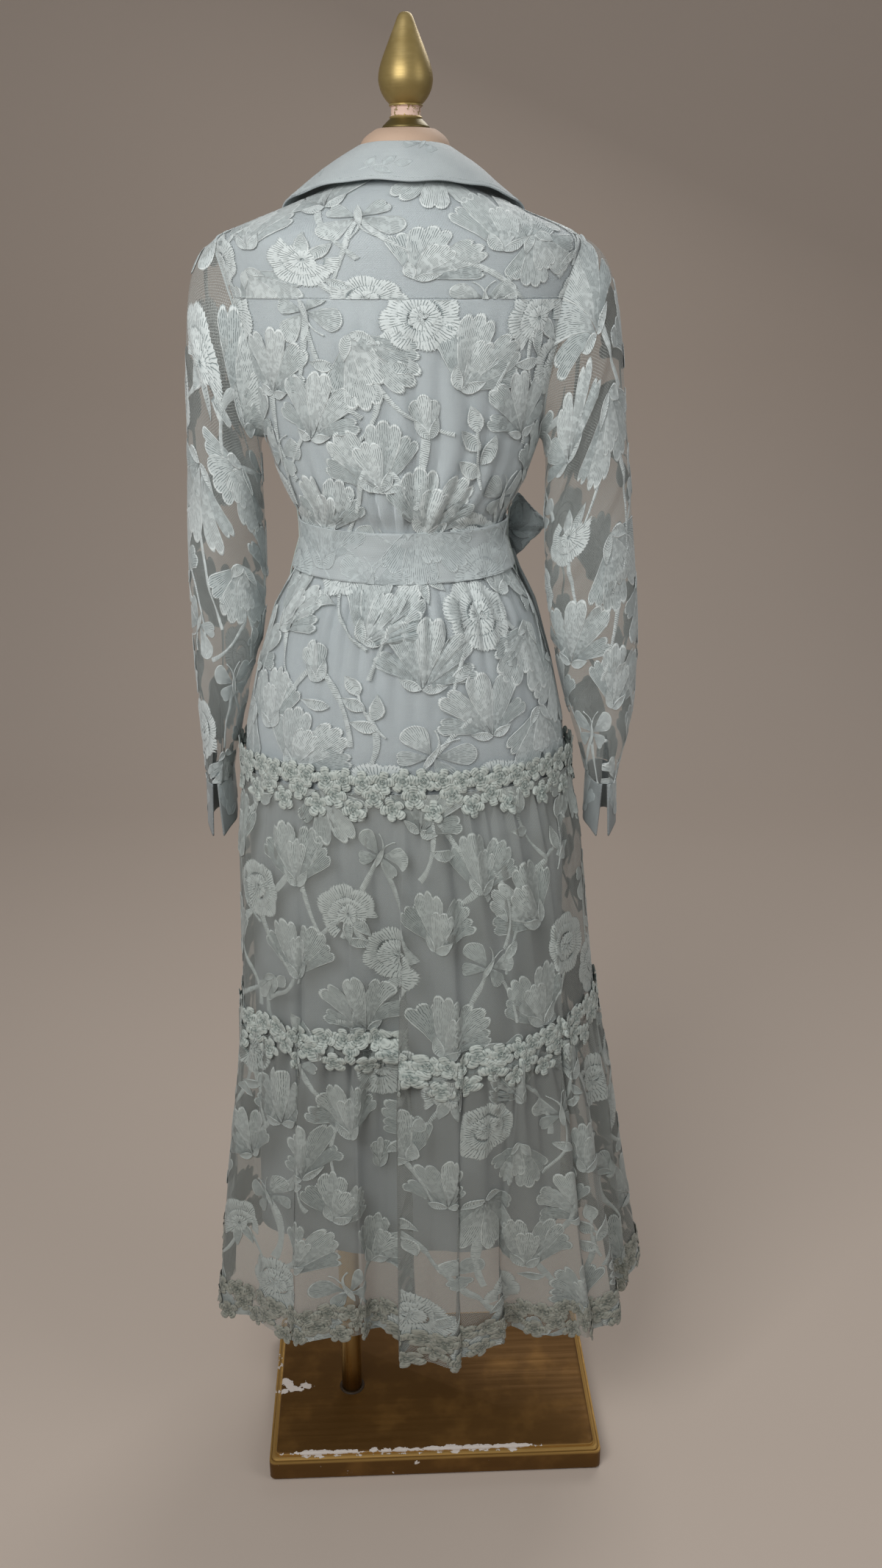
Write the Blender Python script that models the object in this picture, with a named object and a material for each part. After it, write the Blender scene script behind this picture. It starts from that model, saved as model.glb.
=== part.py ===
"""Lace shirt dress on a limbless dress form with a gilded stand.

Units are metres and +Z is up.  The origin lies on the floor, under the middle of the
body.  The back of the dress faces -Y, the front faces +Y, and +X is the wearer's right.

Every cloth piece is a sheet laid over a surface and given its thickness outwards.  The
body surface comes from the sections of the form, the skirt surface from its own sections
and a table of folds.  An angle is counted round the body from the middle of the back,
positive towards +X, and each layer is the same surface moved out a little further.
"""
import math

import bmesh
import bpy
from mathutils import Matrix, Vector

# Cloth layers
CLOTH = 0.0012             # thickness of one layer
GAP = 0.0004               # left between two pieces that touch
LINING_OUT = GAP                          # lining, above the form
LACE_OUT = LINING_OUT + CLOTH + GAP       # lace, above the lining
OVER_LACE = LACE_OUT + CLOTH + GAP        # what lies on the lace

# Heights of seams and edges
NECK_SEAM = 1.603
SHOULDER = 1.549
YOKE_SEAM = 1.493
UNDERARM = 1.360
BELT_TOP = 1.272
WAIST = 1.245
BELT_BOTTOM = 1.218
HIP_SEAM = 0.985
KNEE_SEAM = 0.665
LINING_HEM = 0.347
HEM = 0.240

# Armhole: an upright ellipse seen from the side
ARM_MIDDLE = (SHOULDER + UNDERARM) / 2
ARM_HALF = (SHOULDER - UNDERARM) / 2
ARM_DEPTH = 0.043
ARM_STEP = 30              # degrees round the armhole from one row to the next

# Columns of the sheets, counted over half of the body
PLAIN_COLUMNS = 8
GATHERED_COLUMNS = 16
FOLDED_COLUMNS = 32
SIDE_SEAM = 0.1            # degrees from a tier's side edge to the side seam's line

# Sections of the body from the top down
BODY = (
    # height, half width, depth to the back, depth to the front
    (1.6480, 0.0300, 0.0320, 0.0300),
    (1.6440, 0.0400, 0.0430, 0.0410),
    (1.6340, 0.0455, 0.0485, 0.0465),
    (1.6180, 0.0475, 0.0510, 0.0490),
    (1.6030, 0.0540, 0.0590, 0.0560),
    (1.5920, 0.0740, 0.0690, 0.0660),
    (1.5760, 0.1130, 0.0810, 0.0780),
    (1.5490, 0.1850, 0.0950, 0.0930),
    (1.5363, 0.1860, 0.0975, 0.0960),
    (1.5018, 0.1820, 0.1010, 0.1020),
    (1.4930, 0.1800, 0.1015, 0.1040),
    (1.4545, 0.1720, 0.1020, 0.1120),
    (1.4073, 0.1580, 0.1000, 0.1200),
    (1.3727, 0.1470, 0.0980, 0.1210),
    (1.3600, 0.1440, 0.0970, 0.1200),
    (1.3150, 0.1290, 0.0920, 0.1080),
    (1.2720, 0.1070, 0.0870, 0.0930),
    (1.2450, 0.1055, 0.0850, 0.0880),
    (1.2120, 0.1170, 0.0905, 0.0908),
    (1.1700, 0.1400, 0.1020, 0.0970),
    (1.1000, 0.1630, 0.1150, 0.1040),
    (1.0400, 0.1770, 0.1190, 0.1080),
    (0.9850, 0.1830, 0.1170, 0.1090),
    (0.9450, 0.1780, 0.1120, 0.1040),
    (0.9300, 0.1640, 0.1000, 0.0930),
    (0.9250, 0.1480, 0.0880, 0.0820),
)
NECK_LEAN = 0.0065         # the neck stands this far towards +X at its top
FORM_INSET = 0.0030        # the form lies deeper at its armholes and upper front

# Sections of the skirt lining where it hangs free below the form
SLIP = (
    # height, half width, depth to the back, depth to the front
    (HIP_SEAM, 0.1834, 0.1174, 0.1094),
    (0.6000, 0.1920, 0.1000, 0.1080),
    (LINING_HEM, 0.1980, 0.0900, 0.1100),
)

# Sections of the lace skirt below the hip seam; a lower power makes them squarer
SKIRT = (
    # height, reach to -X, reach to +X, depth to the back, depth to the front, power
    (HIP_SEAM, 0.1850, 0.1850, 0.1190, 0.1110, 1.000),
    (0.9000, 0.1980, 0.2040, 0.1250, 0.1220, 0.940),
    (KNEE_SEAM, 0.2040, 0.2280, 0.1260, 0.1360, 0.800),
    (0.5600, 0.2180, 0.2470, 0.1265, 0.1420, 0.785),
    (0.4500, 0.2330, 0.2620, 0.1290, 0.1475, 0.775),
    (HEM, 0.2540, 0.2960, 0.1340, 0.1580, 0.750),
)

# Folds of the skirt: how far each stands out (or in, below zero) at the three seams
FOLDS = (
    # angle, half angle, at the hip seam, at the knee seam, at the hem
    (-84.0, 8.0, 0.000, -0.004, -0.014),
    (-65.0, 9.0, 0.001, 0.009, 0.017),
    (-48.0, 7.0, 0.000, -0.003, -0.012),
    (-28.0, 11.0, 0.001, 0.006, 0.012),
    (-6.0, 6.5, 0.000, -0.012, -0.030),
    (8.0, 9.0, 0.001, 0.016, 0.024),
    (22.0, 27.0, 0.001, 0.036, 0.002),
    (22.5, 6.5, 0.000, 0.000, -0.028),
    (44.0, 13.0, 0.001, 0.010, 0.022),
    (58.0, 7.0, 0.000, 0.000, 0.014),
    (74.0, 8.0, 0.000, -0.006, -0.026),
    (96.0, 12.0, 0.001, 0.008, 0.024),
    (115.0, 7.0, 0.000, -0.004, -0.018),
    (132.0, 10.0, 0.001, 0.006, 0.018),
    (151.0, 8.0, 0.000, -0.004, -0.020),
    (172.0, 12.0, 0.001, 0.006, 0.016),
    (-166.0, 8.0, 0.000, -0.005, -0.018),
    (-146.0, 11.0, 0.001, 0.006, 0.016),
    (-124.0, 8.0, 0.000, -0.005, -0.020),
    (-104.0, 10.0, 0.001, 0.005, 0.012),
)

# Bodice
BODICE_EASE = (
    # height, how far the lace stands off the lining, height of the gathers
    (1.603, 0.0000, 0.0000),
    (1.549, 0.0000, 0.0000),
    (1.493, 0.0010, 0.0000),
    (1.455, 0.0025, 0.0010),
    (1.360, 0.0040, 0.0015),
    (1.315, 0.0060, 0.0030),
    (1.272, 0.0000, 0.0000),
    (1.245, 0.0000, 0.0000),
)
V_BOTTOM = 1.470           # the fronts open from here up to the neck
V_HALF_TOP = 0.048
PLACKET_WIDTH = 0.028
PLACKET_END = BELT_TOP + 0.004
BUTTONS = 5
BUTTON_RADIUS = 0.0055
BUTTON_DEPTH = 0.0030

# Skirt top gathers
HIP_EASE = (
    # height, how far the lace stands off the lining, height of the gathers
    (1.212, 0.0000, 0.0000),
    (1.170, 0.0040, 0.0035),
    (1.100, 0.0020, 0.0015),
    (1.040, 0.0010, 0.0000),
    (0.985, 0.0000, 0.0000),
)

# Collar leaf from the middle of the back to its front points
COLLAR = (
    # angle, height of the fold, body height under the edge, edge above the body
    (0.0, 1.6320, 1.5920, 0.0100),
    (30.0, 1.6320, 1.5910, 0.0100),
    (60.0, 1.6300, 1.5860, 0.0090),
    (90.0, 1.6240, 1.5790, 0.0075),
    (116.0, 1.6160, 1.5680, 0.0075),
    (140.0, 1.6060, 1.5480, 0.0080),
)
COLLAR_FOLD_OUT = 0.0036
COLLAR_BULGE = 0.0040      # the leaf's middle rises this far above a straight line
STAND_BELOW_FOLD = 0.0020
STAND_OUT = 0.0009
STAND_THICKNESS = 0.0020
LEAF_THICKNESS = 0.0020

# Sleeves, ring by ring from the armhole down
SLEEVE_LEFT = (
    # outer x, outer height, inner x, inner height, middle y, half depth
    (0.2030, 1.5400, 0.1515, 1.3480, 0.000, 0.0480),
    (0.2170, 1.5080, 0.1520, 1.3300, 0.002, 0.0530),
    (0.2240, 1.4500, 0.1520, 1.3000, 0.004, 0.0560),
    (0.2290, 1.3500, 0.1520, 1.2500, 0.006, 0.0570),
    (0.2350, 1.2600, 0.1535, 1.1950, 0.008, 0.0570),
    (0.2380, 1.1800, 0.1585, 1.1450, 0.010, 0.0560),
    (0.2380, 1.1150, 0.1745, 1.0900, 0.012, 0.0540),
    (0.2370, 1.0500, 0.1890, 1.0350, 0.014, 0.0510),
    (0.2330, 0.9660, 0.2050, 0.9660, 0.016, 0.0440),
)
SLEEVE_RIGHT = (
    # outer x, outer height, inner x, inner height, middle y, half depth
    (0.2060, 1.5400, 0.1515, 1.3480, 0.000, 0.0480),
    (0.2190, 1.5080, 0.1530, 1.3300, 0.002, 0.0530),
    (0.2290, 1.4500, 0.1545, 1.3000, 0.004, 0.0560),
    (0.2400, 1.3500, 0.1550, 1.2500, 0.006, 0.0570),
    (0.2500, 1.2600, 0.1580, 1.1950, 0.008, 0.0570),
    (0.2590, 1.1800, 0.1640, 1.1450, 0.010, 0.0560),
    (0.2640, 1.1150, 0.1755, 1.0900, 0.012, 0.0540),
    (0.2630, 1.0500, 0.1910, 1.0350, 0.014, 0.0510),
    (0.2460, 0.9660, 0.2130, 0.9660, 0.016, 0.0440),
)
ARMHOLE_INSET = 0.0012     # the sleeve starts this far inside the armhole's edge
CUFF = (
    # height, how far it opens outwards, how far its ends hang down
    (0.9652, 0.0000, 0.000),
    (0.9400, 0.0010, 0.004),
    (0.9080, 0.0020, 0.014),
)
CUFF_THICKNESS = 0.0020
CUFF_OPENING = 30          # degrees from the middle of the cuff's opening to its edge

# Belt and bow
BELT_THICKNESS = 0.0022
BELT_LOOP_THICKNESS = 0.0010
BELT_LOOP_HALF = 1.0       # half of a belt loop's width, in degrees round the waist
BELT_DROOP = 0.005         # the belt sits lower at the back than at the front
BOW_ANGLE = 122.0
BOW_OUT = 0.0150
KNOT_SIZE = (0.022, 0.018, 0.034)
KNOT_BEVEL = 0.28          # a share of the knot's size
BOW_PINCH = 0.012          # half height of a loop at the knot and at its tip
BOW_SWELL = 0.9            # how fully a loop opens between them
BOW_MOUTH = 0.0022         # half of the gap between a loop's two ends
BOW_LOOPS = (
    # name, turn from the belt's line, length, half breadth, half height, knot's reach
    ("bow_loop_side", 58.0, 0.034, 0.011, 0.034, 0.0096),
    ("bow_loop_front", 165.0, 0.058, 0.013, 0.031, 0.0110),
)
BOW_TAILS = (
    # name, angle at the knot, angle at its end, height of its end
    ("bow_tail_long", 115.0, 119.0, 0.890),
    ("bow_tail_short", 130.0, 137.0, 0.955),
)
TAIL_HALF_ANGLE = 6.5
TAIL_OUT = 0.0175
TAIL_DROP = 0.0035         # the tails start this far below the knot's foot

# Lace trims: thin bands with the reach of the flowers
TRIM_THICKNESS = 0.0026
TRIMS = (
    # name, height of the top edge, height of the bottom edge, gap to the lace under it
    ("trim_hip", 1.011, 0.956, 0.0012),
    ("trim_knee", 0.692, 0.637, 0.0016),
    ("trim_hem", 0.288, 0.236, 0.0030),
)

# Stand
BASE_LENGTH = 0.446
BASE_WIDTH = 0.266
BASE_CENTRE = (0.0285, 0.0145)
BASE_TURN = 2.5            # degrees
BASE_CORNER = 0.010
BASE_PROFILE = (
    # height, inset from the outline
    (0.0000, 0.0035),
    (0.0035, 0.0000),
    (0.0250, 0.0000),
    (0.0280, 0.0030),
    (0.0290, 0.0055),
    (0.0320, 0.0060),
    (0.0330, 0.0085),
    (0.0370, 0.0100),
    (0.0380, 0.0120),
)
POLE_RADIUS = 0.014
POLE_X = -0.085
POLE_SIDES = 24

# Finial, turned in wood
FINIAL_FOOT = 1.6484
FINIAL_X = 0.0065
FINIAL_SIDES = 20
FINIAL_PROFILE = (
    # radius, height above its foot
    (0.0235, 0.0000),
    (0.0230, 0.0025),
    (0.0190, 0.0065),
    (0.0158, 0.0090),
    (0.0162, 0.0105),
    (0.0148, 0.0120),
    (0.0148, 0.0190),
    (0.0164, 0.0205),
    (0.0164, 0.0225),
    (0.0205, 0.0270),
    (0.0252, 0.0350),
    (0.0268, 0.0430),
    (0.0250, 0.0540),
    (0.0195, 0.0690),
    (0.0120, 0.0870),
    (0.0055, 0.1016),
)

# Colours of the finishes: red, green, blue, metallic, roughness
FINISHES = {
    "lace": (0.60, 0.66, 0.66, 0.0, 0.80),
    "lining": (0.52, 0.57, 0.60, 0.0, 0.60),
    "lined_lace": (0.58, 0.65, 0.68, 0.0, 0.70),
    "trim": (0.62, 0.67, 0.64, 0.0, 0.85),
    "button": (0.62, 0.66, 0.66, 0.0, 0.30),
    "form": (0.72, 0.52, 0.42, 0.0, 0.70),
    "gold_paint": (0.26, 0.17, 0.06, 0.8, 0.40),
    "gold_metal": (0.45, 0.32, 0.12, 1.0, 0.30),
    "gold_wood": (0.36, 0.29, 0.11, 0.7, 0.42),
}


def finish(name):
    """A material of one of the finishes, made once."""
    if name in bpy.data.materials:
        return bpy.data.materials[name]
    red, green, blue, metallic, roughness = FINISHES[name]
    material = bpy.data.materials.new(name)
    material.use_nodes = True
    shader = material.node_tree.nodes["Principled BSDF"]
    shader.inputs["Base Color"].default_value = (red, green, blue, 1.0)
    shader.inputs["Metallic"].default_value = metallic
    shader.inputs["Roughness"].default_value = roughness
    return material


def add_object(name, mesh_builder, finish_name):
    """A named object from a bmesh, with its finish."""
    mesh = bpy.data.meshes.new(name)
    mesh_builder.to_mesh(mesh)
    mesh_builder.free()
    mesh.shade_smooth()
    mesh.set_sharp_from_angle(angle=math.radians(50))
    mesh.materials.append(finish(finish_name))
    piece = bpy.data.objects.new(name, mesh)
    bpy.context.scene.collection.objects.link(piece)
    return piece


def add_wall(piece, thickness):
    """Thickness on the outer side of a sheet."""
    wall = piece.modifiers.new("wall", "SOLIDIFY")
    wall.thickness = thickness
    wall.offset = 1.0
    return wall


def cloth(name, rows, columns, place, finish_name="lace", thickness=CLOTH, ring=False, slit=()):
    """A sheet over rows (top to bottom) and columns, with a wall's thickness.

    place(row, column) gives a point.  A ring joins its last column to its first, and
    the cells named in slit, as (row number, column number), stay open.
    """
    builder = bmesh.new()
    grid = [[builder.verts.new(place(row, column)) for column in columns] for row in rows]
    cells = len(columns) if ring else len(columns) - 1
    for i in range(len(rows) - 1):
        for j in range(cells):
            if (i, j) in slit:
                continue
            k = (j + 1) % len(columns)
            builder.faces.new((grid[i][j], grid[i + 1][j], grid[i + 1][k], grid[i][k]))
    loose = [vertex for vertex in builder.verts if not vertex.link_faces]
    bmesh.ops.delete(builder, geom=loose, context="VERTS")
    bmesh.ops.triangulate(builder, faces=builder.faces[:])
    piece = add_object(name, builder, finish_name)
    add_wall(piece, thickness)
    return piece


def turned_solid(name, rows, columns, place, finish_name):
    """A closed solid from rings (top to bottom) with flat ends."""
    builder = bmesh.new()
    rings = [[builder.verts.new(place(row, column)) for column in columns] for row in rows]
    for upper, lower in zip(rings, rings[1:]):
        for j in range(len(columns)):
            k = (j + 1) % len(columns)
            builder.faces.new((upper[j], lower[j], lower[k], upper[k]))
    builder.faces.new(rings[0])
    builder.faces.new(reversed(rings[-1]))
    bmesh.ops.triangulate(builder, faces=builder.faces[:])
    return add_object(name, builder, finish_name)


def sizes_at(table, height):
    """A table's sizes at a height, straight between the rows above and below it."""
    for upper, lower in zip(table, table[1:]):
        if height >= lower[0]:
            share = max(0.0, (upper[0] - height) / (upper[0] - lower[0]))
            return [a + (b - a) * share for a, b in zip(upper[1:], lower[1:])]
    return list(table[-1][1:])


def spread(low, high, parts):
    """Evenly spaced values from low to high."""
    return [low + (high - low) * i / parts for i in range(parts + 1)]


def squared(value, power):
    """A sine or cosine bent towards a squarer section."""
    return math.copysign(abs(value) ** power, value)


def moved_out(surface, height, angle, offset):
    """A point of a surface, moved out along its normal, measured over small steps."""
    turn, drop = math.radians(0.6), 0.003
    across = surface(height, angle + turn) - surface(height, angle - turn)
    down = surface(height - drop, angle) - surface(height + drop, angle)
    return surface(height, angle) + down.cross(across).normalized() * offset


def body_surface(height, angle):
    """The form's surface; the cloth above the form's underside follows it."""
    width, back, front = sizes_at(BODY, height)
    depth = back if math.cos(angle) > 0 else front
    lean = NECK_LEAN * max(0.0, (height - SHOULDER) / (BODY[0][0] - SHOULDER))
    return Vector((width * math.sin(angle) + lean, -depth * math.cos(angle), height))


def slip_surface(height, angle):
    """The lower lining, which leaves the body at the hip."""
    width, back, front = sizes_at(SLIP, height)
    depth = back if math.cos(angle) > 0 else front
    return Vector((width * math.sin(angle), -depth * math.cos(angle), height))


def fold_rise(height, angle):
    """How far the skirt's folds stand out at a height and an angle."""
    rise = 0.0
    for middle, half, at_hip, at_knee, at_hem in FOLDS:
        away = (math.degrees(angle) - middle + 180.0) % 360.0 - 180.0
        if abs(away) >= half:
            continue
        if height > KNEE_SEAM:
            share = (HIP_SEAM - height) / (HIP_SEAM - KNEE_SEAM)
            size = at_hip + (at_knee - at_hip) * share
        else:
            share = (KNEE_SEAM - height) / (KNEE_SEAM - HEM)
            size = at_knee + (at_hem - at_knee) * share
        rise += size * math.cos(math.pi / 2 * away / half) ** 2
    return rise


def plain_skirt(height, angle):
    """The skirt's surface without its folds."""
    left, right, back, front, power = sizes_at(SKIRT, height)
    reach = right if math.sin(angle) > 0 else left
    depth = back if math.cos(angle) > 0 else front
    return Vector((reach * squared(math.sin(angle), power),
                   -depth * squared(math.cos(angle), power), height))


def skirt_point(height, angle, offset=0.0):
    """A point of the folded skirt below the hip seam."""
    return moved_out(plain_skirt, height, angle, fold_rise(height, angle) + offset)


def gathered_point(height, angle, ease_table, offset=LACE_OUT):
    """A point of the lace over the body; ease and gathers fade towards the sides."""
    ease, gather = (size * math.cos(angle) ** 2 for size in sizes_at(ease_table, height))
    ripple = gather * math.cos(2 * GATHERED_COLUMNS * angle)
    return moved_out(body_surface, height, angle, offset + ease + gather + ripple)


def armhole_half_depth(height):
    """Half of the armhole's depth, front to back, at a height."""
    rise = (height - ARM_MIDDLE) / ARM_HALF
    return ARM_DEPTH * math.sqrt(max(0.0, 1.0 - rise * rise))


def side_angle(height, front=False):
    """The angle at which a back or front panel ends: side seam, armhole or shoulder."""
    width, back_depth, front_depth = sizes_at(BODY, height)
    depth = front_depth if front else back_depth
    if height < HIP_SEAM:
        depth = sizes_at(SLIP, height)[2 if front else 1]
    edge = math.acos((armhole_half_depth(height) + GAP / 2) / depth)
    return math.pi - edge if front else edge


def rows_between(top, bottom, *extra):
    """The body's section heights from top to bottom, and any extra ones."""
    heights = {row[0] for row in BODY if bottom <= row[0] <= top} | set(extra)
    return sorted(heights, reverse=True)


def back_place(surface_point):
    """Places a back panel: its columns run from side to side."""
    return lambda height, share: surface_point(height, share * side_angle(height))


def front_place(surface_point, edge_angle):
    """Places a front panel: its columns run from its edge to its side."""
    def place(height, share):
        start, end = edge_angle(height), side_angle(height, front=True)
        return surface_point(height, start + (end - start) * share)
    return place


def mirrored(place):
    """The same place on the other side of the body's middle, which leans at the neck."""
    def other_side(height, share):
        point = place(height, share)
        middle = body_surface(height, 0.0).x
        return Vector((2 * middle - point.x, point.y, point.z))
    return other_side


def lining_point(height, angle):
    """A point on the lining's inner side."""
    if height > HIP_SEAM:
        return moved_out(body_surface, height, angle, LINING_OUT)
    return slip_surface(height, angle)


def bodice_point(height, angle):
    return gathered_point(height, angle, BODICE_EASE)


def skirt_top_point(height, angle):
    return gathered_point(height, angle, HIP_EASE)


def v_angle(height):
    """The angle of the fronts' edges, which open in a V above the top button."""
    width = sizes_at(BODY, height)[0]
    rise = max(0.0, (height - V_BOTTOM) / (NECK_SEAM - V_BOTTOM))
    half = GAP / 2 + (V_HALF_TOP - GAP / 2) * rise
    return math.pi - math.asin(half / width)


def build_form():
    """The limbless torso with its neck block, and the stand under it."""
    angles = [math.radians(a) for a in spread(-180, 180, 2 * PLAIN_COLUMNS)[:-1]]

    def place(height, angle):
        in_front = abs(angle) > math.radians(91) and V_BOTTOM < height <= NECK_SEAM
        beside = UNDERARM < height < SHOULDER
        inset = FORM_INSET if in_front or beside else 0.0
        return moved_out(body_surface, height, angle, -inset)
    turned_solid("form_torso", [row[0] for row in BODY], angles, place, "form")

    finial = bmesh.new()
    profile = [finial.verts.new((radius, 0.0, height)) for radius, height in FINIAL_PROFILE]
    edges = [finial.edges.new(pair) for pair in zip(profile, profile[1:])]
    bmesh.ops.spin(finial, geom=profile + edges, axis=(0, 0, 1), cent=(0, 0, 0),
                   angle=math.tau, steps=FINIAL_SIDES, use_merge=True)
    bmesh.ops.remove_doubles(finial, verts=finial.verts[:], dist=0.0001)
    bmesh.ops.holes_fill(finial, edges=[edge for edge in finial.edges if edge.is_boundary])
    bmesh.ops.recalc_face_normals(finial, faces=finial.faces[:])
    piece = add_object("finial", finial, "gold_wood")
    piece.location = (FINIAL_X, 0.0, FINIAL_FOOT)

    pole = bmesh.new()
    length = BODY[-1][0] - BASE_PROFILE[-1][0] - 2 * GAP
    bmesh.ops.create_cone(pole, cap_ends=True, segments=POLE_SIDES, radius1=POLE_RADIUS,
                          radius2=POLE_RADIUS, depth=length)
    piece = add_object("stand_pole", pole, "gold_metal")
    piece.location = (POLE_X, 0.0, BASE_PROFILE[-1][0] + GAP + length / 2)


def build_base():
    """The moulded base board."""
    corners = [(quarter, step) for quarter in range(4) for step in range(4)]

    def place(level, corner):
        height, inset = level
        quarter, step = corner
        angle = math.radians(quarter * 90 + step * 30)
        side_x, side_y = ((1, 1), (-1, 1), (-1, -1), (1, -1))[quarter]
        radius = max(BASE_CORNER - inset, 0.001)
        x = side_x * (BASE_LENGTH / 2 - inset - radius) + radius * math.cos(angle)
        y = side_y * (BASE_WIDTH / 2 - inset - radius) + radius * math.sin(angle)
        return Vector((x, y, height))
    levels = sorted(BASE_PROFILE, reverse=True)
    piece = turned_solid("base_board", levels, corners, place, "gold_paint")
    piece.location = (*BASE_CENTRE, 0.0)
    piece.rotation_euler.z = math.radians(BASE_TURN)


def build_lining():
    """Sleeveless lining, seamed at the waist: a back and two fronts, then the skirt lining."""
    rows = rows_between(NECK_SEAM, WAIST)
    rows[-1] = WAIST + GAP
    shares = spread(-1, 1, PLAIN_COLUMNS)
    cloth("lining_back", rows, shares, back_place(lining_point), "lining")
    right = front_place(lining_point, v_angle)
    half_shares = spread(0, 1, PLAIN_COLUMNS // 2)
    cloth("lining_front_right", rows, half_shares[::-1], right, "lining")
    cloth("lining_front_left", rows, half_shares, mirrored(right), "lining")

    rows = rows_between(WAIST, HIP_SEAM) + [row[0] for row in SLIP[1:]]
    rows[0] = WAIST - GAP

    def across_front(height, share):
        return lining_point(height, math.pi + share * (math.pi - side_angle(height, front=True)))
    cloth("slip_back", rows, shares, back_place(lining_point), "lining")
    cloth("slip_front", rows, shares, across_front, "lining")


def build_bodice():
    """Back yoke, gathered back, two fronts with a placket and its buttons."""
    yoke_rows = rows_between(NECK_SEAM, YOKE_SEAM)
    back_rows = rows_between(YOKE_SEAM, WAIST)
    yoke_rows[-1] = YOKE_SEAM + GAP / 2
    back_rows[0] = YOKE_SEAM - GAP / 2
    back_rows[-1] = WAIST + GAP
    cloth("yoke_back", yoke_rows, spread(-1, 1, PLAIN_COLUMNS), back_place(bodice_point))
    cloth("bodice_back", back_rows, spread(-1, 1, GATHERED_COLUMNS), back_place(bodice_point))

    front_rows = rows_between(NECK_SEAM, WAIST)
    front_rows[-1] = WAIST + GAP
    right = front_place(bodice_point, v_angle)
    shares = spread(0, 1, PLAIN_COLUMNS // 2)
    cloth("bodice_front_right", front_rows, shares[::-1], right)
    cloth("bodice_front_left", front_rows, shares, mirrored(right))

    placket_rows = rows_between(V_BOTTOM, BELT_TOP, V_BOTTOM - GAP)
    placket_rows[-1] = PLACKET_END

    def on_front(height, x):
        width = sizes_at(BODY, height)[0]
        angle = math.pi - math.asin(x / width)
        ease, gather = sizes_at(BODICE_EASE, height)
        return moved_out(body_surface, height, angle, OVER_LACE + ease + 2 * gather)
    half = PLACKET_WIDTH / 2
    cloth("placket", placket_rows, (half, 0.0, -half), on_front)

    step = (placket_rows[0] - placket_rows[-1]) / BUTTONS
    for i in range(BUTTONS):
        height = placket_rows[0] - step * (i + 0.4)
        button = bmesh.new()
        bmesh.ops.create_cone(button, cap_ends=True, segments=10, radius1=BUTTON_RADIUS,
                              radius2=BUTTON_RADIUS * 0.8, depth=BUTTON_DEPTH)
        piece = add_object(f"button_{i + 1}", button, "button")
        seat = on_front(height, 0.0)
        outward = (on_front(height + 0.01, 0.0) - on_front(height - 0.01, 0.0)).cross(
            Vector((1, 0, 0))).normalized()
        piece.rotation_euler = outward.to_track_quat("Z", "Y").to_euler()
        piece.location = seat + outward * (CLOTH + 1.5 * GAP + BUTTON_DEPTH / 2)


def build_collar():
    """Collar: an upright stand round the neck and a leaf that falls from its top."""
    last = COLLAR[-1][0]
    angles = spread(-last, last, 14)

    def stand(level, angle):
        fold = sizes_at(COLLAR_DOWN, -abs(angle))[0]
        top = max(fold - STAND_BELOW_FOLD, NECK_SEAM + 0.008)
        height = top if level == 0 else NECK_SEAM + 0.002
        return moved_out(body_surface, height, math.radians(angle), STAND_OUT)
    cloth("collar_stand", (0, 1), angles, stand, "lined_lace", STAND_THICKNESS)

    def leaf(share, angle):
        fold, under, lift = sizes_at(COLLAR_DOWN, -abs(angle))
        inner = moved_out(body_surface, fold, math.radians(angle), COLLAR_FOLD_OUT)
        outer = moved_out(body_surface, under, math.radians(angle), lift)
        bulge = COLLAR_BULGE * math.sin(math.pi * share)
        return inner.lerp(outer, share) + Vector((0, 0, bulge))
    cloth("collar_leaf", (0.0, 0.45, 1.0), angles, leaf, "lined_lace", LEAF_THICKNESS)


COLLAR_DOWN = tuple((-row[0],) + row[1:] for row in COLLAR)


def sleeve_ring(ring, turn):
    """A point of a sleeve's ring on the +X side; turn is 0 at its outer end."""
    outer_x, outer_height, inner_x, inner_height, middle_y, half_depth = ring
    outer = Vector((outer_x, middle_y, outer_height))
    inner = Vector((inner_x, middle_y, inner_height))
    along = (outer - inner) / 2
    return (outer + inner) / 2 + along * math.cos(turn) - Vector(
        (0, half_depth * math.sin(turn), 0))


def armhole_ring(turn):
    """The sleeve's first ring, just inside the armhole's edge."""
    height = ARM_MIDDLE + (ARM_HALF - ARMHOLE_INSET) * math.cos(turn)
    y = -(ARM_DEPTH - ARMHOLE_INSET) * math.sin(turn)
    width, back, front = sizes_at(BODY, height)
    depth = back if y < 0 else front
    angle = math.acos(-y / depth)
    return moved_out(body_surface, height, angle, LACE_OUT + 2 * CLOTH)


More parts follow.
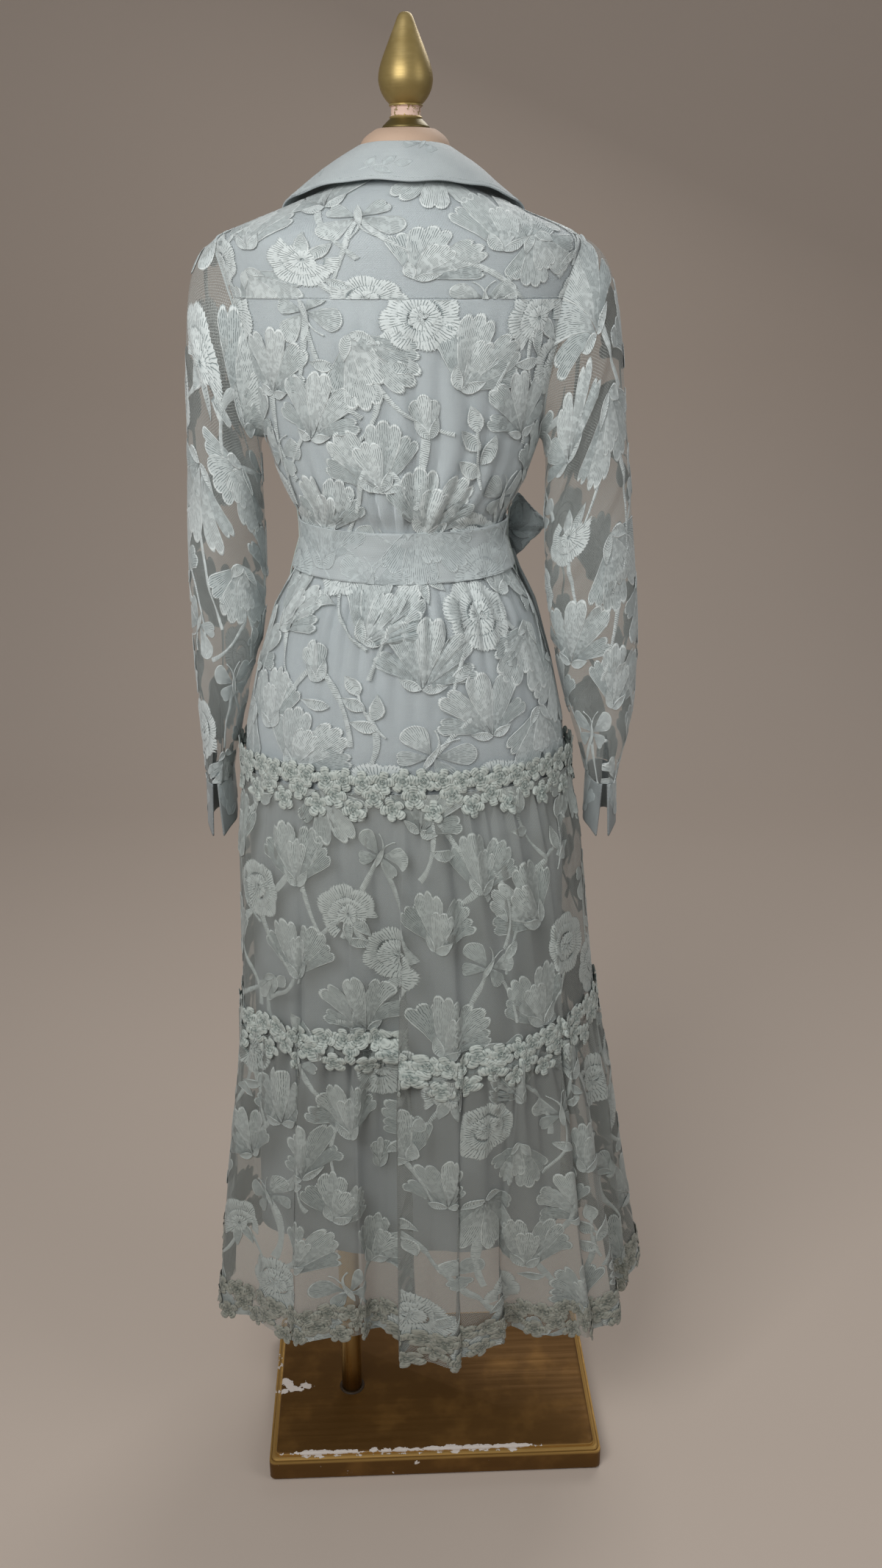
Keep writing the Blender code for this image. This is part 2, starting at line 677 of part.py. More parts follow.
def build_sleeves():
    """Sleeves with an open slit above each cuff, and the unbuttoned cuffs."""
    turns = [math.radians(a) for a in range(0, 360, ARM_STEP)]
    for side, name, rings in ((-1, "left", SLEEVE_LEFT), (1, "right", SLEEVE_RIGHT)):
        def place(number, turn):
            point = armhole_ring(turn) if number < 0 else sleeve_ring(rings[number], turn)
            return Vector((side * point.x, point.y, point.z))
        rows = list(range(-1, len(rings)))
        last = len(rows) - 2
        slit = {(last, 2), (last, 3)} if side > 0 else {(last, 9), (last, 8)}
        ordered = turns if side > 0 else [-turn for turn in turns]
        sleeve = cloth(f"sleeve_{name}", rows, ordered, place, ring=True, slit=slit)
        sleeve.modifiers["wall"].offset = -1.0

        end = rings[-1]
        opening_edges = (90 + CUFF_OPENING, 450 - CUFF_OPENING)
        arc = [math.radians(a) for a in spread(*opening_edges, 10)]

        def cuff_place(row, turn):
            height, opening, hang = row
            point = sleeve_ring(end, turn)
            middle = Vector(((end[0] + end[2]) / 2, end[4], point.z))
            outward = (point - middle).normalized()
            nearness = max(0.0, math.sin(turn)) ** 2
            point = point + outward * opening
            point.z = height - hang * nearness
            return Vector((side * point.x, point.y, point.z))
        if side < 0:
            arc = arc[::-1]
        cuff = cloth(f"cuff_{name}", CUFF, arc, cuff_place, "lined_lace", CUFF_THICKNESS)
        cuff.modifiers["wall"].offset = -1.0


def skirt_rows(top, bottom):
    """The skirt's section heights from top to bottom, with half a gap at each end."""
    heights = [row[0] for row in SKIRT if bottom <= row[0] <= top]
    return [heights[0] - GAP / 2] + heights[1:-1] + [heights[-1] + GAP / 2]


def build_skirt():
    """Three tiers, each with a back and a front."""
    top_rows = rows_between(WAIST, HIP_SEAM)
    top_rows[0] = WAIST - GAP
    top_rows[-1] = HIP_SEAM + GAP / 2
    tiers = (
        # name, rows, surface, columns
        ("skirt_top", top_rows, skirt_top_point, GATHERED_COLUMNS),
        ("skirt_middle", skirt_rows(HIP_SEAM, KNEE_SEAM), skirt_point, FOLDED_COLUMNS),
        ("skirt_bottom", skirt_rows(KNEE_SEAM, HEM), skirt_point, FOLDED_COLUMNS),
    )
    for name, rows, surface, columns in tiers:
        for half, start in (("back", -90.0), ("front", 90.0)):
            end = start + 180.0
            angles = [math.radians(a) for a in
                      spread(start + SIDE_SEAM, end - SIDE_SEAM, columns)]
            cloth(f"{name}_{half}", rows, angles, surface)


def build_trims():
    """Bands of flower lace over the hip and knee seams and round the hem."""
    angles = [math.radians(a) for a in spread(-180, 180, 2 * FOLDED_COLUMNS)[:-1]]
    for name, top, bottom, gap in TRIMS:
        out = CLOTH + gap

        def place(height, angle):
            if height > HIP_SEAM:
                ease, gather = sizes_at(HIP_EASE, height)
                return moved_out(body_surface, height, angle, LACE_OUT + ease + out)
            return skirt_point(height, angle, out)
        rows = [top] + [seam for seam in (KNEE_SEAM,) if bottom < seam < top] + [bottom]
        cloth(name, rows, angles, place, "trim", TRIM_THICKNESS, ring=True)


def belt_height(height, angle):
    """The belt droops a little towards the back."""
    return height - BELT_DROOP * (1 + math.cos(angle)) / 2


def build_belt():
    """Sash belt, its thread loops, and the bow at the wearer's right."""
    angles = [math.radians(a) for a in spread(-180, 180, 2 * GATHERED_COLUMNS)[:-1]]

    def place(height, angle):
        return moved_out(body_surface, belt_height(height, angle), angle, OVER_LACE)
    cloth("belt", (BELT_TOP, BELT_BOTTOM), angles, place,
          "lined_lace", BELT_THICKNESS, ring=True)

    loop_path = (
        # height, distance above the body
        (BELT_TOP + 0.012, OVER_LACE),
        (BELT_TOP + 0.002, OVER_LACE + BELT_THICKNESS),
        (BELT_BOTTOM - 0.006, OVER_LACE + BELT_THICKNESS),
        (BELT_BOTTOM - 0.016, OVER_LACE),
    )
    for name, middle in (("belt_loop_left", -90.0), ("belt_loop_right", 90.0)):
        def loop_place(row, angle):
            return moved_out(body_surface, row[0], angle, row[1])
        edges = [math.radians(middle + side * BELT_LOOP_HALF) for side in (-1, 1)]
        cloth(name, loop_path, edges, loop_place, "lined_lace", BELT_LOOP_THICKNESS)

    angle = math.radians(BOW_ANGLE)
    knot_middle = moved_out(body_surface, WAIST, angle, OVER_LACE + BELT_THICKNESS + BOW_OUT)
    outward = moved_out(body_surface, WAIST, angle, 1.0) - body_surface(WAIST, angle)
    outward.z = 0.0
    outward.normalize()
    along = outward.cross(Vector((0, 0, 1)))
    knot = bmesh.new()
    bmesh.ops.create_cube(knot, size=1.0)
    bmesh.ops.bevel(knot, geom=knot.edges[:], offset=KNOT_BEVEL, offset_type="OFFSET", segments=1,
                    profile=0.5, affect="EDGES", material=-1)
    frame = Matrix((along, outward, Vector((0, 0, 1)))).transposed().to_4x4()
    scale = Matrix.Diagonal((*KNOT_SIZE, 1.0))
    knot.transform(Matrix.Translation(knot_middle) @ frame @ scale)
    add_object("belt_knot", knot, "lined_lace")

    for name, turn, length, half_breadth, half_height, knot_reach in BOW_LOOPS:
        heading = math.radians(turn)
        ahead = along * math.cos(heading) + outward * math.sin(heading)
        sideways = Vector((0, 0, 1)).cross(ahead)
        start = knot_middle + ahead * (knot_reach + CLOTH + GAP)

        def loop_point(level, share):
            reach = length * math.sin(math.pi * share)
            breadth = half_breadth * math.sin(math.tau * share)
            breadth -= BOW_MOUTH * math.cos(math.pi * share)
            swell = math.sin(BOW_SWELL * math.pi * math.sin(math.pi * share))
            height = level * (BOW_PINCH + (half_height - BOW_PINCH) * swell)
            return start + ahead * reach - sideways * breadth + Vector((0, 0, height))
        cloth(name, (1.0, 0.0, -1.0), spread(0, 1, 10), loop_point, "lined_lace")

    for name, start_angle, end_angle, end_height in BOW_TAILS:
        heights = spread(WAIST - KNOT_SIZE[2] / 2 - TAIL_DROP, end_height, 5)

        def tail_point(height, side):
            share = (heights[0] - height) / (heights[0] - heights[-1])
            turn = math.radians(start_angle + (end_angle - start_angle) * share
                                + side * TAIL_HALF_ANGLE)
            if height > HIP_SEAM:
                return moved_out(body_surface, height, turn, TAIL_OUT)
            return skirt_point(height, turn, TAIL_OUT)
        cloth(name, heights, (-1.0, 0.0, 1.0), tail_point, "lined_lace")


def main():
    for old in list(bpy.data.objects):
        bpy.data.objects.remove(old, do_unlink=True)
    build_form()
    build_base()
    build_lining()
    build_bodice()
    build_collar()
    build_sleeves()
    build_skirt()
    build_trims()
    build_belt()


main()
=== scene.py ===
import random
from math import cos, pi, radians, sin, tau

import bmesh
import bpy
import numpy as np
from mathutils import Matrix, Vector
from mathutils.bvhtree import BVHTree


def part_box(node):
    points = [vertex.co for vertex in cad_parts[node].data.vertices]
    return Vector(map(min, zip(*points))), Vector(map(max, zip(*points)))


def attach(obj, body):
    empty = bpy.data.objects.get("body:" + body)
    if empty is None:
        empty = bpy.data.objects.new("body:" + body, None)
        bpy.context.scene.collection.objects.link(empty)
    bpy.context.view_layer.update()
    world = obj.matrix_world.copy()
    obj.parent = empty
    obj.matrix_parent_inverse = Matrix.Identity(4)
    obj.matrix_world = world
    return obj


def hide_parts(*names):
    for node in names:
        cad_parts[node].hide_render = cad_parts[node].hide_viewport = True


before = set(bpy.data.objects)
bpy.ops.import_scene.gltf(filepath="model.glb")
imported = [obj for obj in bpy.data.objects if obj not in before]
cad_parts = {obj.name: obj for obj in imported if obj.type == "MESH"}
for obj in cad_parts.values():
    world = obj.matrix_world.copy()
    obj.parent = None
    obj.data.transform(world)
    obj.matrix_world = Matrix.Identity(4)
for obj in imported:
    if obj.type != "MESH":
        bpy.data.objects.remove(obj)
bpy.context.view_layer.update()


# Base board: a rectangular wooden board with a moulded edge, painted bronze-gold over a white
# ground that shows where the paint has chipped off.  It lies flat on the floor.
BOARD_LENGTH = 0.446
BOARD_WIDTH = 0.266
BOARD_TURN = radians(2.5)
BOARD_CORNER = 0.008
BOARD_EDGE = (
    # how far in, how far up, from the widest outline above the foot
    (0.0, 0.0261),
    (0.0005, 0.0012),
    (0.0018, 0.0),
    (0.0, -0.001),
    (0.0008, 0.0),
    (0.0003, 0.0022),
    (0.0012, 0.0016),
    (0.0018, 0.0006),
    (0.0015, -0.0006),
    (0.0008, 0.0),
    (0.0002, 0.0024),
    (0.0012, 0.0014),
    (0.0014, 0.0006),
)
GOLD_PAINT = (0.13, 0.062, 0.0125, 1.0)
GOLD_RUBBED = (0.195, 0.097, 0.022, 1.0)
# bright gold painted on the moulding's beads as their highlight
GOLD_HIGHLIGHT = (0.52, 0.32, 0.095, 1.0)
WHITE_GROUND = (0.64, 0.56, 0.5, 1.0)
FOOT_RISE = 0.0035


def put_in(name, builder, material, nodes=(), smooth=40.0):
    """A piece from a bmesh, shaded smooth up to an angle and in place of CAD nodes."""
    mesh = bpy.data.meshes.new(name)
    builder.to_mesh(mesh)
    builder.free()
    mesh.shade_smooth()
    mesh.set_sharp_from_angle(angle=radians(smooth))
    mesh.materials.append(material)
    piece = bpy.data.objects.new(name, mesh)
    bpy.context.scene.collection.objects.link(piece)
    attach(piece, "root")
    if nodes:
        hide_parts(*nodes)
    return piece


def box_of(node):
    """The low corner, the high corner and the middle of a CAD node's box."""
    low, high = (Vector(corner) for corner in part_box(node))
    return low, high, (low + high) / 2


def shift(builder, place):
    bmesh.ops.translate(builder, vec=place, verts=builder.verts[:])


def close_up(builder):
    """Fills the open ends of a bmesh and turns its faces outwards."""
    bmesh.ops.holes_fill(builder, edges=[edge for edge in builder.edges if edge.is_boundary])
    bmesh.ops.recalc_face_normals(builder, faces=builder.faces[:])


class Wire:
    """The output of a shader node; sums with other wires and numbers add Math nodes to its tree."""

    def __init__(self, socket):
        self.socket, self.tree = socket, socket.id_data

    def maths(self, operation, *others):
        inputs = dict(enumerate((self, *others)))
        return add(self.tree, "Math", inputs, operation=operation)[0]

    def __add__(self, other):
        return self.maths("ADD", other)

    def __sub__(self, other):
        return self.maths("SUBTRACT", other)

    def __mul__(self, other):
        return self.maths("MULTIPLY", other)

    def __truediv__(self, other):
        return self.maths("DIVIDE", other)


def wires(node):
    """A node's outputs as wires, found by number or by name."""
    found = {socket.name: Wire(socket) for socket in node.outputs}
    return found | {number: Wire(socket) for number, socket in enumerate(node.outputs)}


def new_material(name):
    material = bpy.data.materials.new(name)
    material.use_nodes = True
    return material, material.node_tree


def new_group(name, vectors, numbers, outputs):
    """A shader node group with named sockets: its input wires and its output node."""
    group = bpy.data.node_groups.new(name, "ShaderNodeTree")
    for label in (*vectors, *numbers):
        kind = "NodeSocketVector" if label in vectors else "NodeSocketFloat"
        group.interface.new_socket(label, in_out="INPUT", socket_type=kind)
    for label in outputs:
        group.interface.new_socket(label, in_out="OUTPUT", socket_type="NodeSocketFloat")
    return wires(group.nodes.new("NodeGroupInput")), group.nodes.new("NodeGroupOutput")


def connect(node, inputs):
    """Sets a node's inputs, or links them where a wire is given."""
    for label, value in inputs.items():
        if isinstance(value, Wire):
            node.id_data.links.new(value.socket, node.inputs[label])
        else:
            node.inputs[label].default_value = value


def add(tree, kind, inputs, **settings):
    """The output wires of a new shader node."""
    node = tree.nodes.new("ShaderNode" + kind)
    for label, value in settings.items():
        setattr(node, label, value)
    connect(node, inputs)
    return wires(node)


def use(group, **inputs):
    """The output wires of a node group, placed where its place comes from."""
    node = inputs["Place"].tree.nodes.new("ShaderNodeGroup")
    node.node_tree = group
    connect(node, inputs)
    return wires(node)


def on_object(tree):
    return add(tree, "TexCoord", {})["Object"]


def on_cloth(tree):
    return add(tree, "UVMap", {}, uv_map="cloth")["UV"]


def ease(value, low, high, to_low=0.0, to_high=1.0):
    """A value eased from one range into another."""
    return add(value.tree, "MapRange", {0: value, 1: low, 2: high, 3: to_low, 4: to_high},
               interpolation_type="SMOOTHSTEP")[0]


def mixed(share, first, second):
    return add(share.tree, "Mix", {0: share, 6: first, 7: second}, data_type="RGBA")[2]


def noise(place, scale, detail=3.0, rough=0.55):
    return add(place.tree, "TexNoise", {"Vector": place, "Scale": scale, "Detail": detail,
                                        "Roughness": rough})[0]


def stretched(place, scale):
    return add(place.tree, "Mapping", {"Vector": place, "Scale": scale})[0]


def split(place):
    parts = add(place.tree, "SeparateXYZ", {0: place})
    return parts[0], parts[1], parts[2]


def finish(material, looks, height, distance):
    """Sets the shader's inputs, with a bump from a height, and hands back the material."""
    shader = material.node_tree.nodes["Principled BSDF"]
    bump = add(material.node_tree, "Bump", {"Height": height, "Distance": distance,
                                            "Strength": 1.0})
    connect(shader, {**looks, "Normal": bump[0]})
    return material


def make_worn_paint():
    """Chips down to the ground, rubbed high spots and fine brush marks."""
    given, out = new_group("worn_paint", ("Place",), ("Chips", "Size"),
                           ("Bare", "Rubbed", "Brushed"))
    place = given["Place"]
    flakes = noise(place, given["Size"], 4.0, 0.62)
    marks = noise(stretched(place, (6.0, 160.0, 160.0)), 1.0, 4.0)
    connect(out, {"Bare": ease(flakes + given["Chips"] * 0.4 - 0.8, 0.0, 0.012),
                  "Rubbed": ease(noise(place, 22.0) + marks * 0.14, 0.52, 0.8),
                  "Brushed": marks})
    return out.id_data


worn_paint = make_worn_paint()
board_high, board_middle = box_of("base_board")[1:]


def make_board_paint():
    material, tree = new_material("gold_paint_on_board")
    local = add(tree, "Mapping", {"Vector": on_object(tree), "Location": (*board_middle.xy, 0.0),
                                  "Rotation": (0.0, 0.0, BOARD_TURN)}, vector_type="TEXTURE")[0]
    along, across, height = split(local)
    front = ease(across, -BOARD_WIDTH / 2 + 0.02, -BOARD_WIDTH / 2 + 0.008)
    high = ease(height, 0.031, 0.037)
    middle = ease((along + 0.034).maths("ABSOLUTE"), 0.19, 0.165)
    left = ease(along, -BOARD_LENGTH / 2 + 0.03, -BOARD_LENGTH / 2 + 0.006)
    rear = ease(across, -0.07, 0.06)
    flake_in = (along + (BOARD_LENGTH / 2 - 0.018)) / 0.046
    flake_by = (across + 0.008) / 0.017
    flake = ease(flake_in * flake_in + flake_by * flake_by, 1.0, 0.3) * high
    chips = front * high * middle * 0.86 + flake * 0.74 + left * rear * 0.3
    wear = use(worn_paint, Place=local, Chips=chips + (left + front) * 0.22, Size=62.0)
    bare, brushed = wear["Bare"], wear["Brushed"]
    # painted highlight: a band of bright gold over the beads of the moulding
    edge = ease(height, 0.027, 0.031) * ease(height, board_high.z - 0.0008, board_high.z - 0.0022)
    paint = mixed(wear["Rubbed"], GOLD_PAINT, GOLD_RUBBED)
    paint = mixed(edge * 0.74, paint, GOLD_HIGHLIGHT)
    ground = mixed(noise(local, 130.0), WHITE_GROUND, (0.7, 0.66, 0.62, 1.0))
    return finish(material, {
        "Base Color": mixed(bare, paint, ground),
        "Metallic": bare * -0.62 + 0.62,
        "Roughness": ease(brushed, 0.3, 0.7, 0.46, 0.6) + bare * 0.35},
        brushed * 0.25 - bare, 0.0006)


def make_board():
    """A rounded rectangle, stepped up through the moulding and down to its foot."""
    board = bmesh.new()
    bmesh.ops.create_grid(board, x_segments=1, y_segments=1, size=0.5)
    bmesh.ops.scale(board, vec=(BOARD_LENGTH, BOARD_WIDTH, 1.0), verts=board.verts[:])
    bmesh.ops.bevel(board, geom=board.verts[:], offset=BOARD_CORNER, offset_type="OFFSET",
                    segments=6, profile=0.5, affect="VERTICES", material=-1)
    shift(board, (0.0, 0.0, FOOT_RISE))
    rim = [edge for edge in board.edges if edge.is_boundary]
    top = board.faces[:]
    length, width = BOARD_LENGTH, BOARD_WIDTH
    for inset, rise in BOARD_EDGE:
        top = bmesh.ops.extrude_discrete_faces(board, faces=top)["faces"]
        narrower = ((length - 2 * inset) / length, (width - 2 * inset) / width, 1.0)
        bmesh.ops.scale(board, vec=narrower, verts=top[0].verts[:])
        bmesh.ops.translate(board, vec=(0.0, 0.0, rise), verts=top[0].verts[:])
        length, width = length - 2 * inset, width - 2 * inset
    foot = bmesh.ops.extrude_edge_only(board, edges=rim)["geom"]
    foot_corners = [part for part in foot if isinstance(part, bmesh.types.BMVert)]
    bmesh.ops.translate(board, vec=(0.0, 0.0, -FOOT_RISE), verts=foot_corners)
    narrower = (1 - 2 * FOOT_RISE / BOARD_LENGTH, 1 - 2 * FOOT_RISE / BOARD_WIDTH, 1.0)
    bmesh.ops.scale(board, vec=narrower, verts=foot_corners)
    close_up(board)
    bmesh.ops.rotate(board, cent=(0, 0, 0), matrix=Matrix.Rotation(BOARD_TURN, 3, "Z"),
                     verts=board.verts[:])
    shift(board, (*board_middle.xy, 0.0))
    put_in("base_board_painted", board, make_board_paint(), ["base_board"], 25.0)


make_board()


# Pole: a polished gold-coloured steel tube, darker towards its foot, with a dark ring where it
# enters the board: both are painted shade.  It stands upright behind the middle of the dress and
# carries the form.
pole_low, pole_high, pole_middle = box_of("stand_pole")
POLE_RADIUS = (pole_high.x - pole_low.x) / 2


def spun(profile, steps, close=True):
    """A turned shape from a profile of radius and height."""
    builder = bmesh.new()
    points = [builder.verts.new((radius, 0.0, height)) for radius, height in profile]
    edges = [builder.edges.new(pair) for pair in zip(points, points[1:])]
    bmesh.ops.spin(builder, geom=points + edges, axis=(0, 0, 1), cent=(0, 0, 0),
                   angle=tau, steps=steps, use_merge=True)
    bmesh.ops.remove_doubles(builder, verts=builder.verts[:], dist=0.00002)
    if close:
        close_up(builder)
    else:
        bmesh.ops.recalc_face_normals(builder, faces=builder.faces[:])
    return builder


def make_gold_tube():
    material, tree = new_material("gold_coloured_steel")
    place = on_object(tree)
    drawn = noise(stretched(place, (900.0, 900.0, 14.0)), 1.0)
    smudge = noise(stretched(place, (30.0, 30.0, 9.0)), 1.0, 4.0)
    # painted shade: the tube darkens over its lowest 6 cm, towards the board
    foot = ease(split(place)[2], pole_low.z + 0.06, pole_low.z)
    return finish(material, {
        "Base Color": mixed(ease(foot * 0.5 + smudge * 0.6, 0.25, 0.85),
                            (0.5, 0.35, 0.14, 1.0), (0.185, 0.115, 0.04, 1.0)),
        "Metallic": 1.0,
        "Roughness": ease(drawn + smudge, 0.7, 1.3, 0.22, 0.42)}, drawn, 0.00004)


# A near-black ring round the pole's foot: painted shade for the dark hole where the pole enters the
# board.
def make_painted_foot_shade():
    material, tree = new_material("painted_shade_at_pole_foot")
    dust = noise(on_object(tree), 400.0, 4.0)
    return finish(material, {
        "Base Color": mixed(ease(dust, 0.45, 0.75), (0.03, 0.016, 0.006, 1.0),
                            (0.075, 0.046, 0.022, 1.0)),
        "Roughness": ease(dust, 0.3, 0.7, 0.55, 0.8)}, dust, 0.0002)


tube = spun([(0.0006, pole_low.z), (POLE_RADIUS - 0.0004, pole_low.z),
             (POLE_RADIUS, pole_low.z + 0.0006), (POLE_RADIUS, pole_middle.z),
             (POLE_RADIUS, pole_high.z - 0.0004), (0.0006, pole_high.z)], 48)
shift(tube, (pole_middle.x, pole_middle.y, 0.0))
put_in("pole_tube", tube, make_gold_tube(), ["stand_pole"], 30.0)
FOOT_SHADE_RING_PROFILE = (
    # out from the pole, up from the board
    (0.0002, 0.0016), (0.002, 0.0018), (0.0034, 0.0008), (0.0036, 0.0), (0.0002, 0.0),
    (0.0002, 0.0016),
)
# the dark ring round the pole's foot, painted as shade
foot_shade_ring = spun([(POLE_RADIUS + out, board_high.z + up) for out, up in FOOT_SHADE_RING_PROFILE], 48,
              close=False)
shift(foot_shade_ring, (pole_middle.x, pole_middle.y, 0.0))
put_in("pole_foot_shade_ring", foot_shade_ring, make_painted_foot_shade(), smooth=50.0)


# Form: a limbless women's torso with a neck block, moulded and coated in a matte skin colour.
# Its sections from the neck down also set the shape of every cloth piece on the body.
SECTIONS = (
    # height, half width, depth to the back, depth to the front
    (1.648, 0.03, 0.032, 0.03),
    (1.644, 0.04, 0.043, 0.041),
    (1.634, 0.0455, 0.0485, 0.0465),
    (1.618, 0.0475, 0.051, 0.049),
    (1.603, 0.054, 0.059, 0.056),
    (1.592, 0.074, 0.069, 0.066),
    (1.576, 0.113, 0.081, 0.078),
    (1.549, 0.185, 0.095, 0.093),
    (1.5363, 0.186, 0.0975, 0.096),
    (1.5018, 0.182, 0.101, 0.102),
    (1.4545, 0.172, 0.102, 0.112),
    (1.4073, 0.158, 0.1, 0.12),
    (1.36, 0.144, 0.097, 0.12),
    (1.315, 0.129, 0.092, 0.108),
    (1.272, 0.107, 0.087, 0.093),
    (1.245, 0.1055, 0.085, 0.088),
    (1.212, 0.117, 0.0905, 0.0908),
    (1.17, 0.14, 0.102, 0.097),
    (1.1, 0.163, 0.115, 0.104),
    (1.04, 0.177, 0.119, 0.108),
    (0.985, 0.183, 0.117, 0.109),
    (0.945, 0.178, 0.112, 0.104),
    (0.93, 0.164, 0.1, 0.093),
    (0.925, 0.148, 0.088, 0.082),
)
NECK_LEAN = 0.0065
SHOULDER = 1.549
NECK_SEAM = 1.603
FORM_INSET = 0.003
FORM_ARMHOLE = (1.357, 1.552)
FORM_NECKLINE = (1.467, 1.606)


def capped(values):
    return np.clip(values, 0.0, 1.0)


def unit(vectors):
    return vectors / np.linalg.norm(vectors, axis=-1, keepdims=True)


def lengths(points, axis):
    """How long a grid's rows (axis 1) or columns (axis 0) are."""
    return np.linalg.norm(np.diff(points, axis=axis), axis=2).sum(axis)


def blurred(values, spread, reach, ring=False):
    """Rows of values evened out along a ring, or along a line whose ends carry straight on."""
    weights = np.exp(-0.5 * (np.arange(-reach, reach + 1) / spread) ** 2)
    weights /= weights.sum()
    first = values[-reach:] if ring else 2 * values[:1] - values[reach:0:-1]
    last = values[:reach] if ring else 2 * values[-1:] - values[-2:-reach - 2:-1]
    padded = np.concatenate((first, values, last))
    return sum(weight * padded[step:step + len(values)] for step, weight in enumerate(weights))


def smoothed(table, step=0.001, spread=5):
    """A table's columns at even heights from the bottom up, with its corners rounded off."""
    rows = np.array(table)[::-1]
    heights = np.arange(rows[0, 0], rows[-1, 0] + step / 2, step)
    return heights, [blurred(np.interp(heights, rows[:, 0], column), spread, 3 * spread)
                     for column in rows.T[1:]]


def ellipse(sizes, height, angle):
    """Points round a table's sections; the angle runs from the middle of the back towards +X."""
    width, back, front = (np.interp(height, sizes[0], column) for column in sizes[1])
    depth = np.where(np.cos(angle) > 0, back, front)
    return np.stack((width * np.sin(angle), -depth * np.cos(angle), height + 0.0 * angle), -1)


body_sizes = smoothed(SECTIONS)
body_heights, (body_width, body_back, body_front) = body_sizes


def bare_body(height, angle):
    """Points of the form, whose neck leans a little to +X."""
    points = ellipse(body_sizes, height, angle)
    points[..., 0] += NECK_LEAN * capped((height - SHOULDER) / (SECTIONS[0][0] - SHOULDER))
    return points


def moved_out(surface, height, angle, out):
    """Points of a surface, moved out along its normals."""
    across = surface(height, angle + 0.01) - surface(height, angle - 0.01)
    down = surface(height - 0.003, angle) - surface(height + 0.003, angle)
    return surface(height, angle) + unit(np.cross(down, across)) * (out + 0.0 * angle)[..., None]


def read_out(parts, label, count=1, kind=float):
    """What a mesh's corners, loops or UVs hold, one row each."""
    values = np.zeros(len(parts) * count, dtype=kind)
    parts.foreach_get(label, values)
    return values.reshape(-1, count) if count > 1 else values


def wrap_sheet(name, points, material, nodes=(), ring=False, smooth=60.0):
    """A sheet from a grid of points (rows down, columns across), with a UV map in metres."""
    rows, columns = points.shape[:2]
    builder = bmesh.new()
    bmesh.ops.create_grid(builder, x_segments=columns - 1, y_segments=rows - 1, size=0.5)
    mesh = bpy.data.meshes.new(name)
    builder.to_mesh(mesh)
    builder.free()
    flat = read_out(mesh.vertices, "co", 3)
    column = np.rint((flat[:, 0] + 0.5) * (columns - 1)).astype(int)
    row = np.rint((0.5 - flat[:, 1]) * (rows - 1)).astype(int)
    mesh.vertices.foreach_set("co", points[row, column].ravel())
    width, length = lengths(points, 1).mean(), lengths(points, 0).mean()
    places = np.stack((column / (columns - 1) * width, -row / (rows - 1) * length), 1)
    corners = read_out(mesh.loops, "vertex_index", kind=int)
    mesh.uv_layers.new(name="cloth").uv.foreach_set("vector", places[corners].ravel())
    builder = bmesh.new()
    builder.from_mesh(mesh)
    if ring:
        bmesh.ops.remove_doubles(builder, verts=builder.verts[:], dist=0.00001)
    bpy.data.meshes.remove(mesh)
    return put_in(name, builder, material, nodes, smooth)


def make_form_coat():
    material, tree = new_material("form_coat")
    place = on_object(tree)
    fine, soft = noise(place, 1400.0), noise(place, 26.0, 4.0)
    dirt = ease(noise(place, 240.0, 5.0, 0.7), 0.62, 0.78)
    colour = mixed(soft, (0.465, 0.33, 0.24, 1.0), (0.545, 0.396, 0.296, 1.0))
    return finish(material, {
        "Base Color": mixed(dirt * 0.35, colour, (0.36, 0.24, 0.17, 1.0)),
        "Roughness": ease(fine, 0.3, 0.7, 0.62, 0.8)}, fine + soft, 0.00025)


def make_form():
    """Rings down the sections; the armholes and the open neck lie a little deeper."""
    heights = np.concatenate((np.linspace(1.648, 1.6, 26), np.linspace(1.598, 0.925, 150)))
    height, angle = np.meshgrid(heights, np.linspace(0, tau, 97)[:-1], indexing="ij")
    beside = (capped((FORM_ARMHOLE[1] - height) / 0.006)
              * capped((height - FORM_ARMHOLE[0]) / 0.006))
    in_front = capped(-np.cos(angle) * 12) * capped((height - FORM_NECKLINE[0]) / 0.006)
    in_front = in_front * capped((FORM_NECKLINE[1] - height) / 0.004)
    inset = np.maximum(beside * np.abs(np.sin(angle)) ** 2, in_front) * FORM_INSET
    points = moved_out(bare_body, height, angle, -inset - 0.0002)
    points = np.concatenate((points, points[:, :1]), axis=1)
    piece = wrap_sheet("form_body", points, make_form_coat(), ["form_torso"], True, 50.0)
    builder = bmesh.new()
    builder.from_mesh(piece.data)
    close_up(builder)
    builder.to_mesh(piece.data)
    builder.free()


make_form()


# Finial: turned in wood and painted olive gold, with a worn pink-white band on its spindle
# between thin gold rings.  A dowel under its foot fixes it on the neck block.
finial_low, finial_high, finial_middle = box_of("finial")
FINIAL_PROFILE = (
    # radius, height above its foot
    (0.0006, 0.0), (0.0222, 0.0), (0.0233, 0.0006), (0.0234, 0.0016), (0.0228, 0.0026),
    (0.0212, 0.004), (0.019, 0.0062), (0.0168, 0.008), (0.0158, 0.0089), (0.016, 0.0096),
    (0.0164, 0.0101), (0.0161, 0.0107), (0.0153, 0.011), (0.0148, 0.0117), (0.0147, 0.015),
    (0.0148, 0.0188), (0.0156, 0.0194), (0.0165, 0.02), (0.0167, 0.0208), (0.0163, 0.0215),
    (0.016, 0.022), (0.017, 0.0228), (0.019, 0.0247), (0.0214, 0.0277), (0.0236, 0.0314),
    (0.0253, 0.0354), (0.0263, 0.0394), (0.0268, 0.0434), (0.0265, 0.048), (0.0255, 0.0532),
    (0.0237, 0.059), (0.0213, 0.065), (0.0185, 0.0715), (0.0155, 0.0785), (0.0125, 0.0855),
    (0.0098, 0.092), (0.0077, 0.097), (0.0058, 0.1), (0.0034, 0.1013), (0.0006, 0.1016),
)


